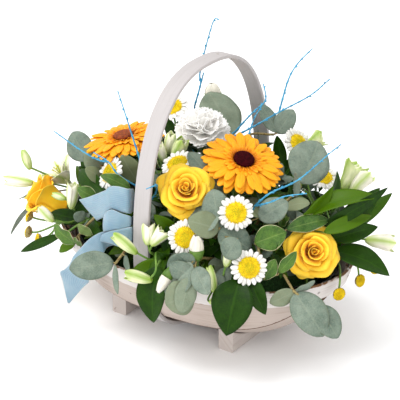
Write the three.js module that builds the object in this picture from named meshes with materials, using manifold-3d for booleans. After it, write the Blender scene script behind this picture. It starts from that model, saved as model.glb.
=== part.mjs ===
// Flower basket arrangement: a whitewashed trug, lined and filled with floral foam, and planted
// with gerberas, roses, a carnation, small daisies, alstroemeria, mixed foliage and painted twigs.
//
// Millimetres, +Z up. X runs along the trug and Y across it; the front is -Y. Places are measured
// from the middle of the trug at the height of its feet, and the finished group is then moved so
// that its origin is below the middle of the whole arrangement.

import * as THREE from 'three';
import { mergeVertices } from 'three/addons/utils/BufferGeometryUtils.js';
import Module from 'manifold-3d';

const wasm = await Module();
wasm.setup();

// Driving dimensions of the trug
const fitGap = 0.3;
const tidyTolerance = 0.05;
const rimHalfLength = 157;
const rimHalfWidth = 108.4;
const rimFoot = 70;
const rimHeight = 20;
const rimFlare = 6.5;
const rimThickness = 3;

const handleWidth = 18;
const handleThickness = 3.8;
const handleHalfSpan = 107.5;
const handleWaist = 104;
const handleRise = 170.5;
const handleDrop = 101;
const handleCrown = 0.81;
const handleBelly = 0.76;

const hullHalfLength = 150;
const hullHalfWidth = 95.6;
const hullTop = 87;
const hullBottom = 10.5;
const hullPlan = 2.02;
const hullSection = 0.9;
const hullRocker = 4.5;
const hullFlare = 5.4;
const boardThickness = 2.2;
const boardLap = 2.9;
const boardReach = 0.975;

const battenWidth = 17;
const battenHalfLength = 58;
const battenSpacing = 66;

const linerThickness = 1.2;
const linerReach = 0.93;
const linerSlack = 0.4;
const foamHalfLength = 110;
const foamHalfWidth = 68;
const foamTop = 89;
const foamFoot = 15;
const foamCorner = 26;
const holeDepth = 20;

// Driving dimensions of the flowers
const gerberaRadius = 40;
const roseRadius = 26;
const carnationRadius = 27;
const daisyRadius = 17.5;
const buttonRadius = 6.5;
const bladeThickness = 0.8;
const ribbonThickness = 0.6;

// The dome that the heads and leaves lie on
const domeCentre = new THREE.Vector3(5, -5, 75);
const domeSize = new THREE.Vector3(165, 120, 125);

const up = new THREE.Vector3(0, 0, 1);
const point = (place) => new THREE.Vector3(...place);
const radians = THREE.MathUtils.degToRad;

function paint(color, roughness = 0.6) {
  return new THREE.MeshStandardMaterial({ color, roughness, metalness: 0 });
}

const whitewash = paint('#e6dfdd', 0.75);
const film = paint('#1c1e1c', 0.4);
const wetFoam = paint('#3f6b3a', 0.95);
const satin = paint('#a9cbe2', 0.4);
const wire = paint('#4a5a48', 0.5);
const gerberaOrange = paint('#ffb31a', 0.55);
const gerberaDark = paint('#3a1018', 0.85);
const roseYellow = paint('#ffcb24', 0.5);
const carnationWhite = paint('#f7f3ee', 0.6);
const santiniWhite = paint('#f1efe4', 0.6);
const buttonYellow = paint('#d8b020', 0.7);
const budLime = paint('#dfe6a8', 0.5);
const stemGreen = paint('#5d8a34', 0.6);
const eucalyptusGrey = paint('#8aa58f', 0.65);
const ruscusGreen = paint('#2c6416', 0.35);
const pittosporumGreen = paint('#7fa050', 0.5);
const twigBlue = paint('#3f9fce', 0.6);

// Solids and nodes

function solidOf(geometry) {
  geometry.deleteAttribute('normal');
  geometry.deleteAttribute('uv');
  const welded = mergeVertices(geometry, 1e-4);
  const numbers = welded.index.array;
  const corners = [];
  for (let i = 0; i < numbers.length; i += 3) {
    const [a, b, c] = [numbers[i], numbers[i + 1], numbers[i + 2]];
    if (a !== b && b !== c && c !== a) {
      corners.push(a, b, c);
    }
  }
  return new wasm.Manifold(new wasm.Mesh({
    numProp: 3,
    vertProperties: new Float32Array(welded.attributes.position.array),
    triVerts: new Uint32Array(corners),
  }));
}

function geometryOf(solid) {
  const mesh = solid.getMesh();
  const geometry = new THREE.BufferGeometry();
  geometry.setAttribute('position', new THREE.BufferAttribute(mesh.vertProperties, 3));
  geometry.setIndex(new THREE.BufferAttribute(mesh.triVerts, 1));
  geometry.computeVertexNormals();
  return geometry;
}

function joined(solids) {
  return wasm.Manifold.union(solids);
}

function largestBody(solid) {
  return solid.decompose().sort((a, b) => b.volume() - a.volume())[0];
}

function lowestBody(solid) {
  return solid.decompose().sort((a, b) => a.boundingBox().min[2] - b.boundingBox().min[2])[0];
}

const arrangement = new THREE.Group();
let filled = null;

// What stands already, with the fit gap around it, keeps its room: each later piece is cut clear.
function place(name, material, build, keep = largestBody) {
  let solid = joined(build(0));
  if (filled) {
    solid = keep(solid.subtract(filled));
  }
  const room = joined(build(fitGap));
  filled = filled ? filled.add(room) : room;
  const mesh = new THREE.Mesh(geometryOf(solid.simplify(tidyTolerance)), material);
  mesh.name = name;
  arrangement.add(mesh);
}

function crowding(solid) {
  return filled.intersect(solid).volume();
}

// Shapes. Each takes "room", a margin that fattens it on every side.

// A thin sheet over surface(u, v); the ring closes on itself in u.
function sheet(surface, rows, columns, thickness, ring = false) {
  const positions = [];
  const index = [];
  const small = 1e-3;
  const stations = ring ? rows : rows + 1;
  for (const side of [0.5, -0.5]) {
    for (let i = 0; i < stations; i += 1) {
      for (let j = 0; j <= columns; j += 1) {
        const u = i / rows;
        const v = j / columns;
        const alongU = surface(u + small, v).sub(surface(u - small, v));
        const alongV = surface(u, v + small).sub(surface(u, v - small));
        const normal = alongU.cross(alongV).normalize();
        positions.push(...surface(u, v).addScaledVector(normal, side * thickness));
      }
    }
  }
  const back = stations * (columns + 1);
  const corner = (i, j) => (i % stations) * (columns + 1) + j;
  for (let i = 0; i < rows; i += 1) {
    for (let j = 0; j < columns; j += 1) {
      const [a, b, c, d] = [corner(i, j), corner(i + 1, j), corner(i + 1, j + 1), corner(i, j + 1)];
      index.push(a, b, c, a, c, d);
      index.push(a + back, c + back, b + back, a + back, d + back, c + back);
    }
    const [a, b] = [corner(i, 0), corner(i + 1, 0)];
    const [c, d] = [corner(i, columns), corner(i + 1, columns)];
    index.push(a + back, b + back, b, a + back, b, a);
    index.push(c, d, d + back, c, d + back, c + back);
  }
  for (let j = 0; j < columns && !ring; j += 1) {
    const [a, b] = [corner(0, j), corner(0, j + 1)];
    const [c, d] = [corner(rows, j), corner(rows, j + 1)];
    index.push(a, b, b + back, a, b + back, a + back);
    index.push(c + back, d + back, d, c + back, d, c);
  }
  const geometry = new THREE.BufferGeometry();
  geometry.setAttribute('position', new THREE.Float32BufferAttribute(positions, 3));
  geometry.setIndex(index);
  return solidOf(geometry);
}

function stem(points, radius, steps = points.length - 1, sides = 3) {
  const section = new THREE.Shape();
  for (let i = 0; i < sides; i += 1) {
    const angle = (i / sides) * Math.PI * 2;
    const [x, y] = [radius * Math.cos(angle), radius * Math.sin(angle)];
    if (i === 0) {
      section.moveTo(x, y);
    } else {
      section.lineTo(x, y);
    }
  }
  const path = new THREE.CatmullRomCurve3(points);
  const options = { steps, bevelEnabled: false, extrudePath: path };
  return solidOf(new THREE.ExtrudeGeometry(section, options));
}

// A turned shape: profile pairs are [radius, height] along the axis, from end to end.
function turned(profile, segments, room = 0) {
  const outline = profile.map(([r, z]) => new THREE.Vector2(r === 0 ? 0 : r + room, z));
  outline[0].y -= Math.sign(outline.at(-1).y - outline[0].y) * room;
  outline.at(-1).y += Math.sign(outline.at(-1).y - outline[0].y) * room;
  const geometry = new THREE.LatheGeometry(outline, segments);
  geometry.rotateX(Math.PI / 2);
  return solidOf(geometry);
}

// The matrix that takes a flower's own frame, +Z out of its face, to its place.
function pose(at, face, twist = 0) {
  const axis = point(face).normalize();
  const side = new THREE.Vector3().crossVectors(up, axis);
  if (side.length() < 0.05) {
    side.set(1, 0, 0);
  }
  side.normalize().applyAxisAngle(axis, radians(twist));
  const rise = new THREE.Vector3().crossVectors(axis, side);
  return new THREE.Matrix4().makeBasis(side, rise, axis).setPosition(...at);
}

function moved(solid, matrix) {
  return solid.transform([...matrix.elements]);
}

// Half-width of each kind of blade, as a share of its widest, from foot (0) to tip (1)
const outlines = {
  eucalyptus: (u) => Math.sin(Math.PI * (0.05 + 0.87 * u)) ** 0.6,
  ruscus: (u) => 1.9 * (u + 0.03) ** 0.65 * (1.02 - u) ** 0.85,
  pittosporum: (u) => Math.sin(Math.PI * (0.04 + 0.9 * u)) ** 0.75,
};
const edgeWave = { eucalyptus: 0.04, ruscus: 0, pittosporum: 0.15 };
const bladeArch = { eucalyptus: 0.05, ruscus: 0.08, pittosporum: 0.06 };
const bladeFold = { eucalyptus: 0, ruscus: 0.25, pittosporum: 0 };
const bladeColumns = { eucalyptus: 1, ruscus: 2, pittosporum: 1 };

function outward(place) {
  return place.clone().sub(domeCentre).divide(domeSize).divide(domeSize).normalize();
}

// A leaf from foot to tip that lies along the dome, rolled about its own midrib. Its petiole, from
// root to foot, is the first stretch of the same sheet.
function blade(kind, root, foot, tip, width, roll, room = 0) {
  const rib = tip.clone().sub(foot);
  const length = rib.length();
  rib.normalize();
  const face = outward(foot.clone().lerp(tip, 0.5));
  face.addScaledVector(rib, -face.dot(rib)).normalize().applyAxisAngle(rib, radians(roll));
  const side = new THREE.Vector3().crossVectors(rib, face);
  const petiole = root.distanceTo(foot) > 0.8 ? 1 : 0;
  const rows = width > 24 ? 4 : 3;
  const columns = width > 15 ? bladeColumns[kind] : 1;
  const surface = (u, v) => {
    const across = 2 * v - 1;
    const along = (u * (rows + petiole) - petiole) / rows;
    if (along < 0) {
      return foot.clone().lerp(root, -along * rows).addScaledVector(side, across * (0.7 + room));
    }
    const half = Math.max(0.7, outlines[kind](Math.min(along, 1)) * width / 2) + room;
    const lift = bladeArch[kind] * length * 4 * along * (1 - along)
      + bladeFold[kind] * half * Math.abs(across)
      + edgeWave[kind] * half * Math.cos(along * 9);
    return foot.clone()
      .addScaledVector(rib, along * length)
      .addScaledVector(side, across * half)
      .addScaledVector(face, lift);
  };
  return sheet(surface, rows + petiole, columns, bladeThickness + 2 * room);
}

// Swings tried in turn, in degrees about the blade's side and its face, until a leaf is clear
const swings = [[0, 0], [12, 0], [-12, 0], [0, 14], [0, -14], [22, 0], [-22, 0], [14, 14], [14, -14],
  [0, 28], [0, -28], [34, 0], [-34, 0], [26, 24], [26, -24]];

function swung(foot, tip, [pitch, yaw]) {
  const rib = tip.clone().sub(foot);
  const face = outward(foot.clone().lerp(tip, 0.5));
  const side = new THREE.Vector3().crossVectors(rib, face).normalize();
  rib.applyAxisAngle(side, radians(pitch)).applyAxisAngle(face, radians(yaw));
  return foot.clone().add(rib);
}

// A leaf that would cross what stands already is swung about its foot; with no room it is left off.
function clearLeaf(kind, [footPlace, tipPlace, width, roll = 0]) {
  const foot = point(footPlace);
  for (const swing of swings) {
    const tip = swung(foot, point(tipPlace), swing);
    const fat = blade(kind, foot, foot, tip, width, roll, fitGap);
    if (crowding(fat) < 0.5) {
      return { foot, tip, width, roll };
    }
  }
  return null;
}

// A stem's foot in the foam: under its head, nearer the middle, in the first hole that is free.
const holeShifts = [0, 8, -8, 16, -16, 24, -24];

function holeFor(path, radius) {
  let best = null;
  let least = Infinity;
  for (const dx of holeShifts) {
    for (const dy of holeShifts) {
      const first = path[0];
      const x = THREE.MathUtils.clamp(first.x * 0.6 + dx, 12 - foamHalfLength, foamHalfLength - 12);
      const y = THREE.MathUtils.clamp(first.y * 0.5 + dy, 10 - foamHalfWidth, foamHalfWidth - 10);
      const hole = new THREE.Vector3(x, y, foamTop - holeDepth);
      const mouth = hole.clone().lerp(first, 0.4);
      mouth.z = Math.max(mouth.z, foamTop + 2);
      const trial = stem([hole, mouth, ...path], radius + fitGap);
      const crowd = crowding(trial) + 0.002 * (Math.abs(dx) + Math.abs(dy));
      if (crowd < least) {
        least = crowd;
        best = [hole, mouth];
      }
      if (least < 0.1) {
        return best;
      }
    }
  }
  return best;
}

function planted(places, radius) {
  const path = places.map(point);
  return [...holeFor(path, radius), ...path];
}

// The corners of the straight stretches that a stem is drawn with
function corners(path) {
  return new THREE.CatmullRomCurve3(path).getSpacedPoints(path.length - 1);
}

function nearest(path, place) {
  const ends = corners(path);
  return ends.slice(1)
    .map((end, i) => new THREE.Line3(ends[i], end)
      .closestPointToPoint(place, true, new THREE.Vector3()))
    .reduce((a, b) => (a.distanceTo(place) < b.distanceTo(place) ? a : b));
}

// A side branch from the nearest point of its stem, kept back from the stem's very end
function branch(path, places, radius, room = 0) {
  const root = nearest(path, places[0]);
  if (root.distanceTo(path.at(-1)) < 1.5) {
    root.lerp(corners(path).at(-2), 0.1);
  }
  return stem([root, ...places], radius + room);
}

// The nearest point to a place on any of several runs of stem
function nearestOf(runs, place) {
  return runs.map((run) => nearest(run, place))
    .reduce((a, b) => (a.distanceTo(place) < b.distanceTo(place) ? a : b));
}

// The runs of a forked stem: the planted one, then each fork from where its first place meets them
function forked(places, forks, radius) {
  const runs = [planted(places, radius)];
  for (const fork of forks) {
    const [start, ...rest] = fork.map(point);
    runs.push([nearestOf(runs, start), ...rest]);
  }
  return runs;
}

function leafySpray(name, kind, material, { path, forks = [], leaves }) {
  const runs = forked(path, forks, 1.3);
  const kept = leaves.map((leaf) => clearLeaf(kind, leaf)).filter(Boolean);
  place(name, material, (room) => [
    ...runs.map((run) => stem(run, 1.3 + room)),
    ...kept.map(({ foot, tip, width, roll }) => (
      blade(kind, nearestOf(runs, foot), foot, tip, width, roll, room))),
  ]);
}

// Trug

function handleLine(angle) {
  const [c, s] = [Math.cos(angle), Math.sin(angle)];
  const power = s > 0 ? handleCrown : handleBelly;
  const reach = (s > 0 ? handleRise : handleDrop) - handleThickness / 2;
  return new THREE.Vector3(
    0,
    -(handleHalfSpan - handleThickness / 2) * Math.sign(c) * Math.abs(c) ** power,
    handleWaist + reach * Math.sign(s) * Math.abs(s) ** power,
  );
}

function handle(room = 0) {
  const turns = (angle) => (angle + 4 * Math.PI) % (2 * Math.PI);
  const surface = (u, v) => {
    const place = handleLine(turns(2 * Math.PI * u));
    place.x = (v - 0.5) * (handleWidth + 2 * room);
    return place;
  };
  return sheet(surface, 40, 1, handleThickness + 2 * room, true);
}

function rim(room = 0) {
  const surface = (u, v) => {
    const angle = 2 * Math.PI * u;
    const flare = rimFlare * v - rimThickness / 2;
    return new THREE.Vector3(
      (rimHalfLength + flare) * Math.cos(angle),
      (rimHalfWidth + flare) * Math.sin(angle),
      rimFoot - room + (rimHeight + 2 * room) * v,
    );
  };
  return sheet(surface, 36, 1, rimThickness + 2 * room, true);
}

// The hull at s along (-1 to 1) and t across (-1 to 1), moved out by "off". Its top spreads to the
// rim, but not at the handle, which stands between the two.
function hull(s, t, off) {
  const half = (hullHalfWidth + off) * (1 - Math.min(1, Math.abs(s)) ** hullPlan) ** (1 / hullPlan);
  const keel = hullBottom - off + (hullTop - 5 - hullBottom) * Math.abs(s) ** hullRocker;
  const angle = t * Math.PI / 2;
  const flare = hullFlare * Math.max(0, (Math.abs(t) - 0.77) / 0.215) * Math.min(1, Math.abs(s) / 0.15);
  return new THREE.Vector3(
    (hullHalfLength + off) * s,
    half * Math.sign(t) * (Math.abs(Math.sin(angle)) ** hullSection + flare / hullHalfWidth),
    hullTop - (hullTop - keel) * Math.abs(Math.cos(angle)) ** hullSection,
  );
}

// The height of the bare hull's middle at s along and y across
function hullHeight(s, y) {
  const half = hull(s, 1, 0).y;
  const cosine = Math.sqrt(1 - (Math.abs(y) / half) ** (2 / hullSection));
  return hullTop - (hullTop - hull(s, 0, 0).z) * cosine ** hullSection;
}

function board(from, to, layer, room = 0) {
  const margin = 0.004 * room / fitGap;
  const surface = (u, v) => {
    const s = (2 * u - 1) * boardReach;
    const t = (from - margin) + (to - from + 2 * margin) * v;
    return hull(s, t, layer * boardLap);
  };
  return sheet(surface, 10, 2, boardThickness + 2 * room);
}

function liner(room = 0) {
  const reach = linerReach + 0.004 * room / fitGap;
  const inset = -(boardThickness / 2 + linerThickness / 2 + linerSlack);
  const surface = (u, v) => hull((2 * u - 1) * boardReach, (2 * v - 1) * reach, inset);
  return sheet(surface, 10, 4, linerThickness + 2 * room);
}

// A batten across the trug, its top hollowed to the hull
function batten(x, room = 0) {
  const half = battenHalfLength + room;
  const outline = [[-half, -room], [half, -room]];
  for (let y = 1; y >= -1; y -= 0.2) {
    outline.push([y * half, hullHeight(x / hullHalfLength, y * half)]);
  }
  const shape = new THREE.Shape(outline.map(([y, z]) => new THREE.Vector2(y, z)));
  const depth = battenWidth + 2 * room;
  const block = new THREE.ExtrudeGeometry(shape, { depth, bevelEnabled: false });
  block.rotateX(Math.PI / 2);
  block.rotateZ(Math.PI / 2);
  block.translate(x - depth / 2, 0, 0);
  return solidOf(block);
}

place('rim', whitewash, (room) => [rim(room)]);
place('handle', whitewash, (room) => [handle(room)]);
place('boardKeel', whitewash, (room) => [board(-0.19, 0.19, 0, room)]);
place('boardFrontInner', whitewash, (room) => [board(-0.6, -0.15, 1, room)]);
place('boardBackInner', whitewash, (room) => [board(0.15, 0.6, 1, room)]);
place('boardFrontOuter', whitewash, (room) => [board(-0.985, -0.56, 2, room)]);
place('boardBackOuter', whitewash, (room) => [board(0.56, 0.985, 2, room)]);
place('battenLeft', whitewash, (room) => [batten(-battenSpacing, room)], lowestBody);
place('battenRight', whitewash, (room) => [batten(battenSpacing, room)], lowestBody);
place('liner', film, (room) => [liner(room)]);

// Ribbon: each band runs between two edges, whose points pair up from the knot outward.

const bands = [
  { // upper loop, which ends in a slanting cut at the left
    upper: [[-6, -96, 146], [-22, -108, 156], [-46, -108, 160], [-66, -106, 160], [-80, -104, 154]],
    lower: [[-6, -98, 130], [-18, -108, 134], [-36, -112, 137], [-50, -112, 140], [-60, -111, 137]],
  },
  { // middle loop
    upper: [[-6, -96, 140], [-14, -111, 142], [-28, -116, 147], [-40, -114, 146], [-38, -107, 140]],
    lower: [[-6, -97, 128], [-14, -112, 131], [-30, -118, 127], [-42, -116, 126], [-38, -106, 126]],
  },
  { // lower loop
    upper: [[-6, -97, 130], [-14, -112, 129], [-30, -119, 124], [-41, -120, 124], [-40, -112, 122]],
    lower: [[-6, -98, 118], [-12, -112, 112], [-28, -120, 112], [-40, -121, 115], [-39, -112, 113]],
  },
  { // long tail over the rim, folded near its end
    upper: [[-8, -98, 128], [-38, -113, 124], [-66, -118, 112], [-82, -121, 97], [-88, -120, 84],
      [-95, -115, 70], [-97, -110, 60], [-92, -111, 45], [-84, -112, 31]],
    lower: [[-8, -100, 116], [-30, -114, 108], [-48, -121, 98], [-60, -124, 86], [-66, -123, 76],
      [-72, -120, 66], [-76, -117, 60], [-80, -115, 45], [-83, -113, 32]],
  },
];

function band({ upper, lower }, room = 0) {
  const top = new THREE.CatmullRomCurve3(upper.map(point));
  const bottom = new THREE.CatmullRomCurve3(lower.map(point));
  const surface = (u, v) => {
    const at = THREE.MathUtils.clamp(u, 0, 1);
    const edge = bottom.getPoint(at);
    const width = top.getPoint(at).sub(edge);
    const grown = v + (2 * v - 1) * room / Math.max(2, width.length());
    return edge.addScaledVector(width, grown)
      .addScaledVector(top.getTangent(at), (u - at) * 60);
  };
  return sheet(surface, upper.length, 1, ribbonThickness + 2 * room);
}

const knot = [-7, -97, 128];

place('ribbonBow', satin, (room) => [
  ...bands.map((one) => band(one, room)),
  moved(turned([[0, -15], [4, -12], [4, 14], [0, 18]], 6, room), pose(knot, [0, 0, 1])),
]);
place('ribbonPick', wire, (room) => [
  stem([[-14, -46, foamTop - holeDepth], [-12, -66, 100], [-8, -94, 116]].map(point), 0.8 + room),
]);

// Flowers

// A ring of petals, each a blade from the inner to the outer radius; lift is its height at the tip.
function petalRing({ count, inner, outer, width, base, lift, turn = 0, rows = 2 }, room) {
  const petals = [];
  for (let i = 0; i < count; i += 1) {
    const angle = ((i + turn) / count) * 2 * Math.PI;
    const out = new THREE.Vector3(Math.cos(angle), Math.sin(angle), 0);
    const side = new THREE.Vector3(-out.y, out.x, 0);
    const reach = outer * (1 + 0.04 * Math.sin(i * 5.3));
    const surface = (u, v) => {
      const share = rows > 1 ? Math.sin(Math.PI * (0.16 + 0.7 * THREE.MathUtils.clamp(u, 0, 1))) ** 0.8
        : 0.75;
      const r = inner + (reach - inner) * u;
      const half = Math.min(width / 2 * share, 0.94 * Math.PI * r / count) + room;
      const height = base + lift * u + 0.06 * outer * Math.sin(Math.PI * u);
      return new THREE.Vector3(0, 0, height)
        .addScaledVector(out, r)
        .addScaledVector(side, (2 * v - 1) * half);
    };
    petals.push(sheet(surface, rows, 1, bladeThickness + 2 * room));
  }
  return petals;
}

function straightStem(at, face, start, radius) {
  const neck = point(at).addScaledVector(point(face).normalize(), -start);
  const bend = point(at).addScaledVector(point(face).normalize(), -start - 12);
  return [...holeFor([bend, neck], radius), bend, neck];
}

const gerberas = [
  { name: 'gerberaFront', at: [61, -23, 190], face: [0.36, -0.2, 0.91] },
  { name: 'gerberaBack', at: [-84, -21, 178], face: [-0.2, 0.1, 0.97] },
];

for (const { name, at, face } of gerberas) {
  const matrix = pose(at, face);
  const layers = [
    { count: 12, inner: 11, outer: gerberaRadius, width: 13, base: -2, lift: 0, turn: 0.5 },
    { count: 10, inner: 11, outer: gerberaRadius * 0.86, width: 11, base: 1, lift: 2.4, rows: 1 },
  ];
  const path = straightStem(at, face, 7, 2.6);
  place(`${name}Petals`, gerberaOrange, (room) => [
    ...layers.flatMap((layer) => petalRing(layer, room)),
    turned([[0, -3.4], [12, -3.4], [12, 3.2], [0, 3.2]], 12, room),
  ].map((one) => moved(one, matrix)));
  place(`${name}Eye`, gerberaDark, (room) => [
    moved(turned([[0, 3.5], [9.5, 3.5], [10.5, 5], [8, 6.6], [0, 5.6]], 9, room), matrix),
  ]);
  place(`${name}Stem`, stemGreen, (room) => [
    moved(turned([[0, -10], [3.5, -10], [9, -3.7], [0, -3.7]], 7, room), matrix),
    stem(path, 2.6 + room, 4, 5),
  ]);
}

// A rose is a spiral of cupped petals, each a little further out than the last.
function rosePetals(radius, room) {
  const petals = [];
  const count = 7;
  for (let i = 0; i < count; i += 1) {
    const share = i / (count - 1);
    const mid = i * radians(137.5);
    const spread = radians(150 - 62 * share);
    const reach = radius * (0.24 + 0.58 * share);
    const seat = radius * (0.16 + 0.16 * share);
    const lip = radius * (0.5 - 0.3 * share);
    const curl = radius * 0.24 * share;
    const surface = (u, v) => {
      const across = 2 * v - 1;
      const angle = mid + across * spread / 2 * (0.65 + 0.35 * Math.sin(Math.PI * Math.min(1, u + 0.2)));
      const bulge = seat + (reach - seat) * Math.sin(Math.PI * 0.5 * Math.min(1, u * 1.3));
      const r = bulge + curl * Math.max(0, u - 0.6) * 2.5 + across * across * 0.4;
      const z = -radius * 0.6 + (lip + radius * 0.6) * u - across * across * 2 * u;
      return new THREE.Vector3(r * Math.cos(angle), r * Math.sin(angle), z);
    };
    petals.push(sheet(surface, i < 3 ? 1 : 2, 2, bladeThickness + 2 * room));
  }
  return petals;
}

const roses = [
  { name: 'roseFront', at: [30, -74, 171], face: [0.42, -0.64, 0.64], twist: 20 },
  { name: 'roseRight', at: [143, -27, 119], face: [0.62, -0.62, 0.48], twist: 100 },
  { name: 'roseLeft', at: [-152, -60, 106], face: [-0.8, -0.35, 0.5], twist: 60 },
];

for (const { name, at, face, twist } of roses) {
  const matrix = pose(at, face, twist);
  const path = straightStem(at, face, roseRadius * 0.95, 2.2);
  place(`${name}Bloom`, roseYellow, (room) => [
    ...rosePetals(roseRadius, room),
    turned([[0, -18], [9, -17], [10, -6], [3, 10], [0, 11]], 6, room),
  ].map((one) => moved(one, matrix)));
  place(`${name}Calyx`, stemGreen, (room) => [
    moved(turned([[0, -28], [3, -28], [7.5, -18.4], [0, -18.4]], 5, room), matrix),
    ...petalRing({ count: 5, inner: 4, outer: 20, width: 7, base: -22, lift: 1, rows: 1, turn: 0.5 }, room)
      .map((one) => moved(one, matrix)),
    stem(path, 2.2 + room, 4),
  ]);
}

// A carnation is a dome of fan-shaped petals with toothed, ruffled edges.
function carnationPetals(radius, room) {
  const petals = [];
  const rings = [
    { count: 6, lean: 82, reach: 1 },
    { count: 4, lean: 46, reach: 0.84 },
  ];
  for (const { count, lean, reach } of rings) {
    for (let i = 0; i < count; i += 1) {
      const around = ((i + lean / 50) / count) * 2 * Math.PI;
      const out = new THREE.Vector3(Math.cos(around), Math.sin(around), 0);
      const side = new THREE.Vector3(-out.y, out.x, 0);
      const rise = out.clone().multiplyScalar(Math.sin(radians(lean)))
        .addScaledVector(up, Math.cos(radians(lean)));
      const face = new THREE.Vector3().crossVectors(side, rise);
      const surface = (u, v) => {
        const along = radius * reach * (0.2 + 0.8 * u);
        const tooth = Math.round(v * 4) % 2 ? 1 : 0.88;
        const half = 0.94 * Math.PI * along * Math.sin(radians(lean)) / count + room;
        return new THREE.Vector3(0, 0, -8)
          .addScaledVector(rise, along * (u > 0.9 ? tooth : 1))
          .addScaledVector(side, (2 * v - 1) * half)
          .addScaledVector(face, u * u * 2.4 * Math.cos(v * 13 + i));
      };
      petals.push(sheet(surface, 1, 4, bladeThickness + 2 * room));
    }
  }
  return petals;
}

const carnation = { at: [-19, 23, 193], face: [0.15, -0.25, 0.95] };
const carnationPose = pose(carnation.at, carnation.face);
const carnationPath = straightStem(carnation.at, carnation.face, 24, 2);

place('carnationBloom', carnationWhite, (room) => [
  ...carnationPetals(carnationRadius, room),
  turned([[0, -14], [6, -13], [8, -4], [0, 5]], 6, room),
].map((one) => moved(one, carnationPose)));
place('carnationCalyx', stemGreen, (room) => [
  moved(turned([[0, -27], [3, -27], [5.5, -22], [5.5, -14.4], [0, -14.4]], 6, room), carnationPose),
  stem(carnationPath, 2 + room, 4),
]);

const carnationBuds = [
  { name: 'carnationBudTop', radius: 7.5, path: [[-48, 86, 150], [-48, 88, 176]],
    foot: [-49, 86, 192], tip: [-51, 87, 211] },
  { name: 'carnationBudFront', radius: 7.5, path: [[52, -72, 104], [64, -100, 108]],
    foot: [66, -107, 121], tip: [63, -104, 146] },
  { name: 'carnationBudLow', radius: 6, path: [[34, -72, 106], [44, -104, 118]],
    foot: [49, -121, 115], tip: [43, -139, 94] },
];

function bud(foot, tip, radius, room = 0, segments = 6) {
  const run = tip.clone().sub(foot);
  const length = run.length();
  const profile = [[0, 0], [radius * 0.5, 0], [radius, length * 0.55], [0, length]];
  return moved(turned(profile, segments, room), pose(foot.toArray(), run.toArray()));
}

for (const { name, radius, path: places, foot, tip } of carnationBuds) {
  const [end, top] = [point(foot), point(tip)];
  const path = [...planted(places, 1.2), end, end.clone().lerp(top, 0.2)];
  place(name, carnationWhite, (room) => [bud(end, top, radius, room, 7), stem(path, 1.2 + room)]);
}

// Santini sprays: each head is a ring of short rays round a raised disc, or a bare button.

function daisyHead({ at, face }, room) {
  const rays = { count: 8, inner: 8, outer: daisyRadius, width: 11, base: 0, lift: 1.4, rows: 1, turn: 0.5 };
  const disc = [[0, -3], [10, -2.5], [10, 2], [0, 4.8]];
  return [...petalRing(rays, room), turned(disc, 8, room)].map((one) => moved(one, pose(at, face)));
}

function buttonHead({ at, face }, room) {
  const profile = [[0, -4], [3, -4], [buttonRadius, -0.5], [buttonRadius, 2], [0, 3.6]];
  return [moved(turned(profile, 6, room), pose(at, face))];
}

const santinis = [
  { name: 'santiniFrontRight', fork: [84, -60, 122],
    daisies: [
      { at: [86, -72, 162], face: [0.45, -0.66, 0.6] },
      { at: [113, -90, 120], face: [0.56, -0.72, 0.42] },
    ] },
  { name: 'santiniFrontLeft', fork: [36, -74, 116],
    daisies: [{ at: [49, -102, 138], face: [0.4, -0.8, 0.45] }] },
  { name: 'santiniMiddle', fork: [-22, -6, 150],
    daisies: [
      { at: [-3, -42, 179], face: [-0.1, -0.4, 0.9] },
      { at: [-59, 31, 201], face: [0.2, -0.55, 0.8] },
    ] },
  { name: 'santiniLeft', fork: [-60, -46, 130],
    daisies: [{ at: [-69, -64, 160], face: [-0.35, -0.75, 0.56] }] },
  { name: 'santiniRight', fork: [72, 50, 140],
    daisies: [
      { at: [69, 64, 180], face: [0.75, -0.1, 0.66] },
      { at: [100, 60, 154], face: [0.4, -0.15, 0.9] },
    ] },
  { name: 'buttonsRight', fork: [138, 16, 96],
    buttons: [
      { at: [172, 45, 80], face: [0.9, -0.35, 0.3], bends: [[156, 38, 99], [166, 44, 92]] },
      { at: [170, 20, 76], face: [0.95, -0.2, 0.2], bends: [[158, 20, 97], [166.5, 20, 90]] },
      { at: [170, -20, 79], face: [0.8, -0.55, 0.1], bends: [[156, 2, 98], [167, -14, 92]] },
    ] },
  { name: 'buttonsLeft', fork: [-128, -72, 92],
    buttons: [
      { at: [-167, -76, 90], face: [-0.8, -0.5, 0.4] },
      { at: [-163, -83, 76], face: [-0.95, -0.3, 0.1] },
      { at: [-147, -86, 73], face: [-0.6, -0.8, 0.1] },
    ] },
];

for (const { name, fork, daisies = [], buttons = [] } of santinis) {
  const path = planted([fork], 1.5);
  const branches = [...daisies, ...buttons].map(({ at, face, bends }) => {
    const neck = point(at).addScaledVector(point(face).normalize(), -1.5);
    const below = neck.clone().addScaledVector(point(face).normalize(), -6).lerp(point(fork), 0.2);
    return bends ? [...bends.map(point), neck] : [below, neck];
  });
  place(name, daisies.length ? santiniWhite : buttonYellow, (room) => [
    ...daisies.flatMap((head) => daisyHead(head, room)),
    ...buttons.flatMap((head) => buttonHead(head, room)),
    stem(path, 1.5 + room),
    ...branches.map((places) => branch(path, places, 1.2, room)),
  ]);
}

// Alstroemeria: slim buds on arching stalks, and one open flower

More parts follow.
